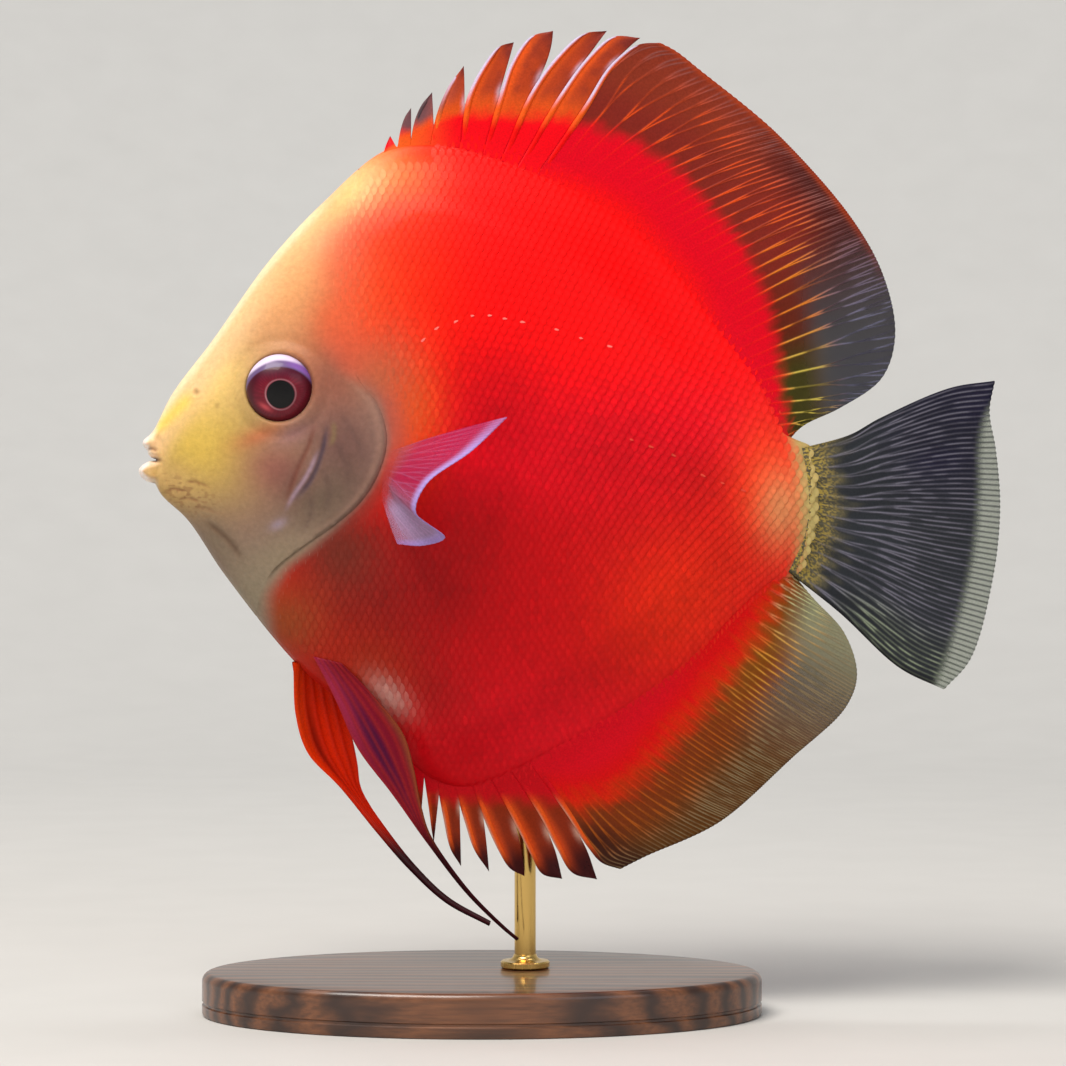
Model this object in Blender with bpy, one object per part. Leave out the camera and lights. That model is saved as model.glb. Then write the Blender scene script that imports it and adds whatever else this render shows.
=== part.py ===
"""A discus fish at life size, as a still display model held over a plinth by one rod.

The fish faces -X and shows its left flank to -Y. Lengths are in millimetres in the fish's own
frame (X back from the lower lip, Z up from the line of the mouth, Y across from the middle
plane), and place() turns them to metres over the middle of the plinth's underside.
"""

import math

import bmesh
import bpy
import numpy as np

MM = 0.001
GAP = 0.3  # between pieces that meet face to face

# The plinth, the rod and the height of the fish over them
BASE_LENGTH = 104.0
BASE_WIDTH = 62.0
BASE_HEIGHT = 8.0
BASE_EDGE = 1.6
ROD_RADIUS = 2.0
ROD_X = 72.0
ROD_Y = 4.2
ROD_TOP = -38.0
COLLAR_RADIUS = 4.6
COLLAR_HEIGHT = 2.6
FOOT_BEVEL = 0.6
ROD_BEVEL = 0.5
WOOD_UNDER_ROD = 3.0
TIP_CLEARANCE = 5.7
LOWEST_TIP = -89.3
MIDDLE_X = 64.0

# The body's upper and lower outline, from the snout to the root of the tail fin
TOP_OUTLINE = [(3.3, 6.3), (6.6, 12.4), (13.9, 22.1), (24.2, 36.6), (34.0, 47.3), (45.9, 57.0),
               (54.3, 58.4), (67.3, 55.4), (85.9, 47.2), (97.3, 37.8), (106.8, 25.5),
               (115.5, 13.9), (120.3, 4.6), (124.6, 2.4)]
BOTTOM_OUTLINE = [(3.3, -5.2), (9.3, -11.0), (16.2, -21.2), (29.6, -37.8), (39.4, -46.2),
                  (49.1, -54.6), (54.8, -59.2), (61.5, -60.6), (78.5, -53.0), (100.8, -38.4),
                  (110.1, -29.2), (116.6, -23.2), (122.0, -21.3)]
SNOUT_X = 3.3
TAIL_END = [(122.0, -21.3), (124.8, -15.0), (125.8, -9.0), (125.6, -3.5), (124.6, 2.4)]

# Half the body's width at its widest, along its length, and the shape of its sections
WIDTH_STATIONS = [0.0, 3.3, 8.0, 16.0, 26.0, 38.0, 52.0, 66.0, 82.0, 98.0, 112.0, 126.0]
HALF_WIDTHS = [2.6, 3.4, 5.2, 8.2, 10.8, 12.6, 13.0, 12.2, 9.8, 6.8, 4.2, 2.3]
ROUND_SECTION = 0.52
LEAN_SECTION = 0.74
SECTION_CHANGE = (20.0, 50.0)  # where the sections turn from round to lean
BARE_RIM = 0.45
FIN_RIM = 1.15
BACK_RIM_CHANGE = (36.0, 46.0)  # where the rim widens to carry a fin
BELLY_RIM_CHANGE = (44.0, 54.0)

# Where the head ends, from the throat up round the gill cover's hind edge to the nape
HEAD_EDGE = [(22.0, -28.6), (25.2, -21.0), (30.6, -16.4), (37.0, -12.0), (42.0, -7.6),
             (45.2, -2.4), (46.6, 3.4), (45.2, 9.2), (41.4, 14.6), (38.6, 21.5), (38.0, 31.0),
             (39.0, 43.0), (41.0, 53.7)]
COVER_FRONT = [(25.6, -19.6), (28.6, -12.6), (31.4, -5.6), (33.6, 1.6), (35.4, 8.6), (38.6, 15.6)]
COVER_START = 0.14
COVER_END = 0.58
COVER_THICKNESS = 1.8
POCKET_REACH = 2.0
POCKET_HEIGHT = 5.0
STALK_X = 109.0

# The eye, the ring of flesh round it, the nostril and the mouth
EYE_X = 27.2
EYE_Z = 12.9
EYE_RADIUS = 6.0
EYE_DEPTH = 4.2
EYE_CENTRE_Y = 8.3
ORBIT_RADIUS = 6.9
ORBIT_WIDTH = 1.5
ORBIT_LIFT = 0.8
NOSTRIL = (11.4, 12.3)
NOSTRIL_RADIUS = 0.65
NOSTRIL_DEPTH = 1.2
LIP_REACH_UPPER = 2.3
LIP_REACH_LOWER = 2.95
LIP_WIDTH = 3.1
LIP_FULLNESS = 0.8
LIP_STEP_UPPER = 0.5  # how far each lip stays inside the head's outline
LIP_STEP_LOWER = 0.3
LIP_FOLD_Z = 2.1
LIP_FOLD_HEIGHT = 0.45
LIP_FOLD_DEPTH = 0.35
MOUTH_Z = 0.2
MOUTH_OPENING = 0.7

# The fins' thickness: membrane, soft ray and spine, each half of the whole, and their feet
MEMBRANE = 0.26
RAY = 0.30
RAY_FOOT = 0.42
SPINE = 0.62
SPINE_FOOT = 0.62
SPINE_FOOT_RISE = 0.12
FIRST_SPINE = 0.6  # the first spine's share of the last one's thickness
RIDGE_TAPER = 0.6
FLARE_SHARE = 0.16  # the share of a ray over which its root swells to the body's rim
SPINE_BOW = 0.05
RAY_BOW = 0.13
SPINE_CROWDING = 1.1
LAPPET_DEPTH = 0.95
PAIRED_ROOT = 0.7

DORSAL_BASE_START = 44.8
DORSAL_BASE_END = 120.0
DORSAL_SPINY_SHARE = 0.285
DORSAL_SPINE_TIPS = [(46.7, 60.3), (50.2, 65.1), (54.3, 68.1), (60.5, 73.1), (69.4, 77.9),
                     (75.7, 79.8), (85.2, 80.2), (91.3, 79.0), (96.2, 77.9)]
DORSAL_EDGE = [(96.2, 77.9), (104.5, 72.2), (119.4, 60.3), (132.4, 45.4), (138.6, 34.2),
               (140.8, 23.2), (138.4, 15.3), (130.6, 9.7), (124.4, 6.9), (121.2, 4.9)]
DORSAL_SPREAD = [(0.0, 0.0), (0.18, 0.26), (0.64, 0.54), (0.78, 0.67), (1.0, 1.0)]
DORSAL_SOFT_RAYS = 20

ANAL_BASE_START = 53.2
ANAL_BASE_END = 121.4
ANAL_SPINY_SHARE = 0.285
ANAL_SPINE_TIPS = [(52.5, -66.2), (54.8, -71.6), (59.9, -75.7), (65.7, -76.6), (71.6, -77.6),
                   (77.4, -78.3), (84.6, -78.1), (89.1, -76.1)]
ANAL_EDGE = [(89.1, -76.1), (94.3, -73.8), (108.3, -67.3), (122.0, -55.1), (131.7, -45.8),
             (133.7, -39.8), (131.4, -32.2), (126.4, -26.6), (122.6, -23.0)]
ANAL_SPREAD = [(0.0, 0.0), (0.2, 0.27), (0.64, 0.58), (0.8, 0.73), (1.0, 1.0)]
ANAL_SOFT_RAYS = 19

TAIL_UPPER_EDGE = [(124.9, 2.4), (132.4, 4.7), (138.0, 7.8), (151.0, 13.4), (159.2, 14.7)]
TAIL_LOWER_EDGE = [(122.3, -21.4), (130.6, -28.5), (141.7, -38.7), (150.1, -42.8)]
TAIL_HIND_EDGE = [(150.1, -42.8), (155.2, -37.0), (159.4, -22.0), (160.7, -9.0), (159.6, 1.9),
                  (158.3, 9.0), (159.2, 14.7)]
TAIL_RAYS = 15
TAIL_SWING = 2.4
TAIL_RAY_FOOT = 0.17

PECTORAL_ROOT = [(48.1, 1.0), (48.5, -8.4)]
PECTORAL_EDGE = [(68.9, -19.5, 7.3), (62.5, -25.5, 1.0), (54.6, -29.8, -5.0),
                 (52.7, -29.2, -9.8), (57.7, -22.4, -14.5), (53.4, -19.4, -15.9),
                 (49.0, -17.6, -15.6)]
PECTORAL_RAYS = 11
PECTORAL_BEND = (0.35, 0.62, 0.5)  # how far a ray's bend is from root to tip, by axis
PECTORAL_RAY_FOOT = 0.2

PELVIC_LEFT_LEAD = [(32.4, -36.0), (37.6, -47.4), (45.0, -58.6), (53.4, -72.2), (61.8, -82.0),
                    (70.3, -89.3)]
PELVIC_LEFT_TRAIL = [(38.4, -39.6), (46.6, -50.2), (51.3, -62.3), (54.9, -71.6), (62.9, -80.9),
                     (70.6, -88.9)]
PELVIC_RIGHT_LEAD = [(29.9, -36.2), (29.8, -47.4), (32.8, -55.0), (43.2, -67.0), (56.8, -80.6),
                     (65.4, -86.4)]
PELVIC_RIGHT_TRAIL = [(36.8, -39.2), (42.6, -52.4), (46.0, -62.3), (50.0, -70.0), (58.0, -78.6),
                      (65.7, -85.7)]
PELVIC_SPLAY = 3.6
PELVIC_TURN = 0.85  # how much of a half wave the splay follows
PELVIC_DRAW_IN = 0.3
PELVIC_RAYS = 6
PELVIC_RAY_FOOT = 0.22


# Curves and the body's surface

def smooth(points, shares):
    """Points at the given shares of the length of a smooth curve through points."""
    points = np.asarray(points, float)
    steps = np.linalg.norm(np.diff(points, axis=0), axis=1) ** 0.5
    knots = np.concatenate([[0.0], np.cumsum(steps)])
    slopes = np.diff(points, axis=0) / steps[:, None]
    tangents = np.empty_like(points)
    tangents[0] = slopes[0]
    tangents[-1] = slopes[-1]
    before, after = steps[:-1, None], steps[1:, None]
    tangents[1:-1] = (slopes[:-1] * after + slopes[1:] * before) / (before + after)
    fine = np.linspace(0.0, knots[-1], 40 * len(points))
    span = np.clip(np.searchsorted(knots, fine, side="right") - 1, 0, len(steps) - 1)
    width = steps[span][:, None]
    t = (fine - knots[span])[:, None] / width
    curve = (points[span] * (2 * t**3 - 3 * t**2 + 1) + points[span + 1] * (3 * t**2 - 2 * t**3)
             + width * tangents[span] * (t**3 - 2 * t**2 + t)
             + width * tangents[span + 1] * (t**3 - t**2))
    return resample(curve, shares)


def resample(points, shares):
    """Points at the given shares of the length of a run of straight steps."""
    steps = np.linalg.norm(np.diff(points, axis=0), axis=1)
    length = np.concatenate([[0.0], np.cumsum(steps)])
    wanted = np.asarray(shares, float) * length[-1]
    across = range(points.shape[1])
    return np.stack([np.interp(wanted, length, points[:, k]) for k in across], axis=1)


EVEN = np.linspace(0.0, 1.0, 400)
TOP = smooth(TOP_OUTLINE, EVEN)
BOTTOM = smooth(BOTTOM_OUTLINE, EVEN)
WIDTHS = smooth(list(zip(WIDTH_STATIONS, HALF_WIDTHS)), EVEN)


def stretch(curve, start_x, end_x, shares):
    """Points at the given shares of that part of a curve that lies between two values of X."""
    inside = curve[(curve[:, 0] > start_x) & (curve[:, 0] < end_x)]
    ends = [[x, np.interp(x, curve[:, 0], curve[:, 1])] for x in (start_x, end_x)]
    return resample(np.vstack([ends[0], inside, ends[1]]), shares)


def shifted(curve, distance):
    """A curve moved sideways, to the left of its own direction where distance is positive."""
    along = np.gradient(curve, axis=0)
    along /= np.linalg.norm(along, axis=1)[:, None]
    return curve + distance * np.stack([-along[:, 1], along[:, 0]], axis=1)


def ramp(x, limits):
    """A share that grows from 0 to 1 between two places."""
    return np.clip((x - limits[0]) / (limits[1] - limits[0]), 0.0, 1.0)


def half_width(x, z):
    """How far the body's surface lies from the middle plane at this place in the side view."""
    top = np.interp(x, TOP[:, 0], TOP[:, 1])
    bottom = np.interp(x, BOTTOM[:, 0], BOTTOM[:, 1])
    height = np.clip((2 * z - top - bottom) / (top - bottom), -1.0, 1.0)
    finned = np.where(height > 0, ramp(x, BACK_RIM_CHANGE), ramp(x, BELLY_RIM_CHANGE))
    rim = BARE_RIM + (FIN_RIM - BARE_RIM) * finned
    widest = np.interp(x, WIDTHS[:, 0], WIDTHS[:, 1])
    power = ROUND_SECTION + (LEAN_SECTION - ROUND_SECTION) * ramp(x, SECTION_CHANGE)
    away = np.hypot(x - EYE_X, z - EYE_Z)
    orbit = ORBIT_LIFT * np.exp(-(((away - ORBIT_RADIUS) / ORBIT_WIDTH) ** 2))
    return rim + (widest - rim) * (1.0 - height**2) ** power + orbit


def seat(x, z):
    """The surface's half width plus the gap that a piece resting on it keeps."""
    step = 0.05
    slope_x = (half_width(x + step, z) - half_width(x - step, z)) / (2 * step)
    slope_z = (half_width(x, z + step) - half_width(x, z - step)) / (2 * step)
    return half_width(x, z) + GAP * math.sqrt(1.0 + slope_x**2 + slope_z**2)


def place(points):
    """Points of the fish's frame, in metres over the middle of the plinth's underside."""
    lift = BASE_HEIGHT + TIP_CLEARANCE - LOWEST_TIP
    return (np.asarray(points, float) + (-MIDDLE_X, 0.0, lift)) * MM


# Making objects

def material(name, colour, roughness, metallic=0.0):
    made = bpy.data.materials.new(name)
    made.use_nodes = True
    shader = made.node_tree.nodes["Principled BSDF"]
    shader.inputs["Base Color"].default_value = (*colour, 1.0)
    shader.inputs["Roughness"].default_value = roughness
    shader.inputs["Metallic"].default_value = metallic
    return made


def solid(name, points, faces, look=None):
    """An object from points in the fish's frame, with its faces turned outward."""
    mesh = bpy.data.meshes.new(name)
    mesh.from_pydata(place(points).tolist(), [], faces)
    work = bmesh.new()
    work.from_mesh(mesh)
    bmesh.ops.recalc_face_normals(work, faces=work.faces)
    if work.calc_volume(signed=True) < 0:
        bmesh.ops.reverse_faces(work, faces=work.faces)
    work.to_mesh(mesh)
    work.free()
    mesh.shade_smooth()
    mesh.set_sharp_from_angle(angle=math.radians(40))
    made = bpy.data.objects.new(name, mesh)
    bpy.context.scene.collection.objects.link(made)
    if look:
        mesh.materials.append(look)
    else:
        made.hide_render = True
        made.display_type = "WIRE"
    return made


def cut(target, cutter):
    """Cuts one closed mesh out of target and removes the cutter."""
    change = target.modifiers.new("cut", "BOOLEAN")
    change.operation = "DIFFERENCE"
    change.object = cutter
    bpy.context.view_layer.update()
    result = target.evaluated_get(bpy.context.evaluated_depsgraph_get())
    mesh = bpy.data.meshes.new_from_object(result)
    target.modifiers.clear()
    target.data = mesh
    bpy.data.objects.remove(cutter)


class Sheet:
    """A thin body with two like faces: points of its middle surface, each with half a thickness."""

    def __init__(self):
        self.middle = []
        self.half = []
        self.triangles = []
        self.roots = set()

    def column(self, points, halves):
        """Adds a run of points from the root outward and gives their numbers."""
        first = len(self.middle)
        self.middle.extend(np.asarray(points, float).tolist())
        self.half.extend(np.asarray(halves, float).tolist())
        self.roots.add(first)
        return list(range(first, len(self.middle)))

    def join(self, one, two):
        """Fills the strip between two columns, whose numbers of points may differ."""
        i = j = 0
        while i < len(one) - 1 or j < len(two) - 1:
            ahead = (i + 1) * (len(two) - 1) <= (j + 1) * (len(one) - 1)
            if j == len(two) - 1 or (i < len(one) - 1 and ahead):
                self.triangles.append((one[i], two[j], one[i + 1]))
                i += 1
            else:
                self.triangles.append((one[i], two[j], two[j + 1]))
                j += 1

    def solid(self, name, look, side=0):
        """Both faces and the rim. With a side, the roots are seated on that flank of the body."""
        middle = np.array(self.middle)
        half = np.array(self.half)
        points = np.vstack([middle + half, middle - half])
        count = len(middle)
        if side:
            for root in self.roots:
                for number in (root, root + count):
                    x, _, z = points[number]
                    points[number, 1] = side * seat(x, z)
        faces = list(self.triangles)
        faces += [(a + count, c + count, b + count) for a, b, c in self.triangles]
        edges = {}
        for a, b, c in self.triangles:
            for edge in ((a, b), (b, c), (c, a)):
                edges[edge] = edge[::-1] not in edges
                if not edges[edge]:
                    edges[edge[::-1]] = False
        for (a, b), outer in edges.items():
            if outer:
                faces += [(a, a + count, b), (b, a + count, b + count)]
        return solid(name, points, faces, look)


def pillow(name, grid, look=None, outer=None, inner=None):
    """A closed body over a grid in the side view, between the two flanks or two given depths."""
    rows, columns, _ = grid.shape
    flat = grid.reshape(-1, 2)
    depth = half_width(flat[:, 0], flat[:, 1]) if outer is None else outer(flat)
    other = -depth if inner is None else inner(flat)
    points = np.vstack([np.column_stack([flat[:, 0], side, flat[:, 1]]) for side in (depth, other)])
    count = len(flat)
    faces = []
    for i in range(rows - 1):
        for j in range(columns - 1):
            a = i * columns + j
            b, c, d = a + 1, a + columns + 1, a + columns
            faces += [(a, b, c), (a, c, d)]
            faces += [(a + count, c + count, b + count), (a + count, d + count, c + count)]
    ring = list(range(columns))
    ring += [i * columns + columns - 1 for i in range(1, rows)]
    ring += [(rows - 1) * columns + j for j in range(columns - 2, -1, -1)]
    ring += [i * columns for i in range(rows - 2, 0, -1)]
    for a, b in zip(ring, ring[1:] + ring[:1]):
        faces += [(a, a + count, b), (b, a + count, b + count)]
    return solid(name, points, faces, look)


def patch(low, high, front, back):
    """A grid between four edges: low and high run backward, front and back run upward.

    Its rows lie closer together toward low and high, where the surface turns over.
    """
    u = np.linspace(0.0, 1.0, len(low))[:, None, None]
    v = np.linspace(0.0, 1.0, len(front))
    v = 0.5 * v + 0.25 * (1 - np.cos(math.pi * v))
    front, back = smooth(front, v), smooth(back, v)
    v = v[None, :, None]
    grid = (1 - v) * low[:, None] + v * high[:, None] + (1 - u) * front[None] + u * back[None]
    grid -= (1 - u) * (1 - v) * front[0] + (1 - u) * v * front[-1]
    grid -= u * (1 - v) * back[0] + u * v * back[-1]
    return grid


def ellipsoid(name, centre, radii, look=None, around=20, rings=12):
    """An ellipsoid whose poles lie along Y."""
    points = [(0.0, -1.0, 0.0)]
    for ring in range(1, rings):
        polar = math.pi * ring / rings
        for step in range(around):
            turn = 2 * math.pi * step / around
            points.append((math.sin(polar) * math.cos(turn), -math.cos(polar),
                           math.sin(polar) * math.sin(turn)))
    points.append((0.0, 1.0, 0.0))
    faces = []
    for step in range(around):
        after = (step + 1) % around
        faces.append((0, 1 + step, 1 + after))
        for ring in range(rings - 2):
            a = 1 + ring * around
            faces.append((a + step, a + around + step, a + around + after, a + after))
        a = 1 + (rings - 2) * around
        faces.append((a + step, len(points) - 1, a + after))
    points = np.array(points) * radii + centre
    return solid(name, points, faces, look)


def turned(name, profile, centre, look=None, sides=16, stretch_y=1.0):
    """A turned body: profile is a list of (radius, height) from its lower to its upper end."""
    points = []
    for radius, height in profile:
        for step in range(sides):
            turn = 2 * math.pi * step / sides
            points.append((centre[0] + radius * math.cos(turn),
                           centre[1] + radius * stretch_y * math.sin(turn), height))
    faces = [tuple(range(sides)), tuple(range(len(points) - sides, len(points)))]
    for ring in range(len(profile) - 1):
        for step in range(sides):
            after = (step + 1) % sides
            a = ring * sides
            faces.append((a + step, a + after, a + sides + after, a + sides + step))
    return solid(name, points, faces, look)


# Body pieces

def make_body(look, lip_look, eye_look):
    rows = 27
    edge = smooth(HEAD_EDGE, np.linspace(0, 1, rows))
    head_edge = shifted(edge, GAP / 2)
    torso_edge = shifted(edge, -GAP / 2)

    shares = np.linspace(0, 1, 19)
    low = stretch(BOTTOM, SNOUT_X, head_edge[0, 0], shares)
    high = stretch(TOP, SNOUT_X, head_edge[-1, 0], shares)
    head_edge[0], head_edge[-1] = low[-1], high[-1]
    front = smooth([low[0], high[0]], np.linspace(0, 1, rows))
    head = pillow("head", patch(low, high, front, head_edge), look)

    shares = np.linspace(0, 1, 15)
    low = stretch(BOTTOM, torso_edge[0, 0], STALK_X - GAP / 2, shares)
    high = stretch(TOP, torso_edge[-1, 0], STALK_X - GAP / 2, shares)
    torso_edge[0], torso_edge[-1] = low[0], high[0]
    back = smooth([low[-1], high[-1]], np.linspace(0, 1, rows))
    torso = pillow("torso", patch(low, high, torso_edge, back), look)

    rows = 14
    shares = np.linspace(0, 1, 6)
    tail_end = smooth(TAIL_END, np.linspace(0, 1, rows))
    low = stretch(BOTTOM, STALK_X + GAP / 2, tail_end[0, 0], shares)
    high = stretch(TOP, STALK_X + GAP / 2, tail_end[-1, 0], shares)
    tail_end[0], tail_end[-1] = low[-1], high[-1]
    front = smooth([low[0], high[0]], np.linspace(0, 1, rows))
    pillow("tail_stalk", patch(low, high, front, tail_end), look)

    make_gill_covers(head, edge, look)
    make_eyes(head, eye_look)
    make_mouth(lip_look)
    below = BOTTOM[:, 1].min() - POCKET_HEIGHT
    walls = [(ROD_RADIUS + GAP, below), (ROD_RADIUS + GAP, ROD_TOP + GAP)]
    cut(torso, turned("rod_socket", walls, (ROD_X, ROD_Y)))


def flank(side, depth):
    """A function that puts points of the side view at this depth under one flank."""
    return lambda flat: side * (half_width(flat[:, 0], flat[:, 1]) - depth)


def make_gill_covers(head, edge, look):
    """Each cover fills a shallow pocket in the head and ends level with the head's hind edge."""
    whole = smooth(edge, np.linspace(COVER_START, COVER_END, 12))
    back = shifted(whole, GAP / 2)
    front = smooth(COVER_FRONT, np.linspace(0, 1, 12))
    cover = np.stack([front + (back - front) * share for share in np.linspace(0, 1, 7)])
    wide_front = shifted(front, GAP)
    wide_back = shifted(whole, -POCKET_REACH)
    wide = np.stack([wide_front + (wide_back - wide_front) * share for share in np.linspace(0, 1, 7)])
    along = wide[:, -1] - wide[:, -2]
    wide[:, -1] += GAP * along / np.linalg.norm(along, axis=1)[:, None]
    along = wide[:, 0] - wide[:, 1]
    wide[:, 0] += GAP * along / np.linalg.norm(along, axis=1)[:, None]
    for side, name in ((-1, "left"), (1, "right")):
        pillow("gill_cover_" + name, cover, look, flank(side, 0.0), flank(side, COVER_THICKNESS))
        pocket_floor = flank(side, COVER_THICKNESS + GAP)
        cut(head, pillow("pocket_" + name, wide, None, flank(side, -POCKET_HEIGHT), pocket_floor))


def make_eyes(head, look):
    radii = np.array([EYE_RADIUS, EYE_DEPTH, EYE_RADIUS])
    for side, name in ((-1, "left"), (1, "right")):
        centre = (EYE_X, side * EYE_CENTRE_Y, EYE_Z)
        ellipsoid("eye_" + name, centre, radii, look)
        cut(head, ellipsoid("socket_" + name, centre, radii + GAP))
        pit = (NOSTRIL[0], side * half_width(*NOSTRIL), NOSTRIL[1])
        radii_of_pit = (NOSTRIL_RADIUS, NOSTRIL_DEPTH, NOSTRIL_RADIUS)
        cut(head, ellipsoid("nostril_" + name, pit, radii_of_pit, around=10, rings=6))


def make_mouth(look):
    """Two fleshy lips, domed forward and flat behind, with a fold along the upper one."""
    top = np.interp(SNOUT_X, TOP[:, 0], TOP[:, 1]) - LIP_STEP_UPPER
    bottom = np.interp(SNOUT_X, BOTTOM[:, 0], BOTTOM[:, 1]) + LIP_STEP_LOWER
    lips = (("upper_lip", MOUTH_Z + MOUTH_OPENING / 2, top, LIP_REACH_UPPER, LIP_FOLD_DEPTH),
            ("lower_lip", bottom, MOUTH_Z - MOUTH_OPENING / 2, LIP_REACH_LOWER, 0.0))
    around, rings = 26, 6
    for name, low, high, reach, fold in lips:
        middle, half = (low + high) / 2, (high - low) / 2
        points = [(SNOUT_X - GAP - reach, 0.0, middle)]
        for ring in range(1, rings + 1):
            polar = 0.5 * math.pi * ring / rings
            for step in range(around):
                turn = 2 * math.pi * step / around
                spread = math.sin(polar) ** LIP_FULLNESS
                z = middle + half * spread * math.sin(turn)
                folded = 1 - fold * math.exp(-(((z - LIP_FOLD_Z) / LIP_FOLD_HEIGHT) ** 2))
                points.append((SNOUT_X - GAP - reach * math.cos(polar) * folded,
                               LIP_WIDTH * spread * math.cos(turn), z))
        faces = [tuple(range(len(points) - around, len(points)))]
        for step in range(around):
            after = (step + 1) % around
            faces.append((0, 1 + step, 1 + after))
            for ring in range(rings - 1):
                a = 1 + ring * around
                faces.append((a + step, a + around + step, a + around + after, a + after))
        solid(name, points, faces, look)


# Fins

def bowed(root, tip, bow, rows):
    """Points of a ray that leaves its root more steeply than the line to its tip."""
    root, tip = np.asarray(root, float), np.asarray(tip, float)
    along = tip - root
    bend = (root + tip) / 2 + bow * np.array([-along[1], along[0]])
    t = np.linspace(0, 1, rows)[:, None]
    return (1 - t) ** 2 * root + 2 * t * (1 - t) * bend + t**2 * tip


def thickness(shares, root, ridge):
    """Half thickness along a ray or the membrane beside it, from the root outward."""
    flare = np.clip(1 - shares / FLARE_SHARE, 0, 1) ** 2
    free = MEMBRANE + ridge * (1 - RIDGE_TAPER * shares)
    return free + np.clip(root - free, 0, None) * flare


def flat_column(sheet, line, halves):
    """A column of a fin that stands in the middle plane."""
    points = np.column_stack([line[:, 0], np.zeros(len(line)), line[:, 1]])
    depth = np.column_stack([np.zeros(len(line)), halves, np.zeros(len(line))])
    return sheet.column(points, depth)


def beside(line, distance, root):
    """A line alongside a ray, closing on it toward the tip, from a root of its own."""
    shares = np.linspace(0, 1, len(line))
    along = np.gradient(line, axis=0)
    along /= np.linalg.norm(along, axis=1)[:, None]
    across = np.stack([along[:, 1], -along[:, 0]], axis=1)
    moved = line + (distance * (1 - 0.5 * shares))[:, None] * across
    moved[0] = root
    return moved


def make_spiny_fin(name, base, spiny_share, tips, edge, spread, soft_rays, turn, look):
    """A median fin: stiff spines with a loose lappet behind each tip, then soft rays.

    turn is 1 on the back, where a ray's hind side lies to its right, and -1 under the belly.
    """
    sheet = Sheet()
    rows = 6
    shares = np.linspace(0, 1, rows)
    spines = len(tips)
    base_length = np.linalg.norm(np.diff(base, axis=0), axis=1).sum()
    spine_step, ray_step = SPINE_FOOT / base_length, RAY_FOOT / base_length
    last = None
    for number, tip in enumerate(tips):
        share = spine_step + spiny_share * (number / (spines - 1)) ** SPINE_CROWDING
        before, root, after = resample(base, [share - spine_step, share, share + spine_step])
        line = bowed(root, tip, turn * SPINE_BOW, rows)
        grown = FIRST_SPINE + (1 - FIRST_SPINE) * number / spines
        ridge = thickness(shares, FIN_RIM, SPINE * grown)
        foot = thickness(shares, FIN_RIM, SPINE_FOOT_RISE)
        fore = flat_column(sheet, beside(line, -turn * SPINE_FOOT, before), foot)
        middle = flat_column(sheet, line, ridge)
        hind = flat_column(sheet, beside(line, turn * SPINE_FOOT, after), foot)
        if last:
            free_from = max(1, round((rows - 1) * LAPPET_DEPTH * number / spines))
            sheet.join(last, fore[:free_from + 1])
        sheet.join(fore, middle)
        sheet.join(middle, hind)
        last = hind

    edge_shares, base_shares = np.array(spread)[:, 1], np.array(spread)[:, 0]
    for number in range(1, soft_rays + 1):
        share = number / soft_rays
        place = spiny_share + (1 - spiny_share - spine_step) * share + spine_step
        before, root, after = resample(base, [place - ray_step, place, place + ray_step])
        tip = smooth(edge, [np.interp(share, base_shares, edge_shares)])[0]
        line = bowed(root, tip, turn * RAY_BOW * (1 - share), rows)
        ridge = thickness(shares, FIN_RIM, RAY)
        foot = thickness(shares, FIN_RIM, 0.0)
        fore = flat_column(sheet, beside(line, -turn * RAY_FOOT, before), foot)
        middle = flat_column(sheet, line, ridge)
        sheet.join(last, fore)
        sheet.join(fore, middle)
        last = middle
        if number < soft_rays:
            last = flat_column(sheet, beside(line, turn * RAY_FOOT, after), foot)
            sheet.join(middle, last)
    sheet.solid(name, look)


def paired_root_half(ends):
    return np.full(len(ends), PAIRED_ROOT)


def stalk_half_width(ends):
    return half_width(ends[:, 0] - GAP, ends[:, 2])


def fan(lines, root_half, feet):
    """Columns of a fan of rays: each ray has a raised middle and a foot on both sides.

    lines holds each ray's points in space, and root_half gives the half thickness at the roots.
    It gives the columns' points and half thicknesses.
    """
    rays, rows, _ = lines.shape
    shares = np.linspace(0, 1, rows)
    ray_numbers, heights = [], []
    for number in range(rays):
        for offset, height in ((-feet, 0.0), (0.0, RAY), (feet, 0.0)):
            if 0 <= number + offset <= rays - 1:
                ray_numbers.append(number + offset)
                heights.append(height)
    index = np.array(ray_numbers)
    low = np.clip(np.floor(index).astype(int), 0, rays - 2)
    mix = (index - low)[:, None, None]
    places = lines[low] * (1 - mix) + lines[low + 1] * mix
    normals = np.cross(np.gradient(places, axis=0), np.gradient(places, axis=1))
    normals /= np.linalg.norm(normals, axis=2)[:, :, None] + 1e-12
    roots = root_half(places[:, 0])
    halves = np.stack([thickness(shares, root, height) for root, height in zip(roots, heights)])
    return places, normals * halves[:, :, None]


def make_fan(name, places, halves, look, side=0):
    sheet = Sheet()
    last = None
    for points, half in zip(places, halves):
        column = sheet.column(points, half)
        if last:
            sheet.join(last, column)
        last = column
    sheet.solid(name, look, side)


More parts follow.
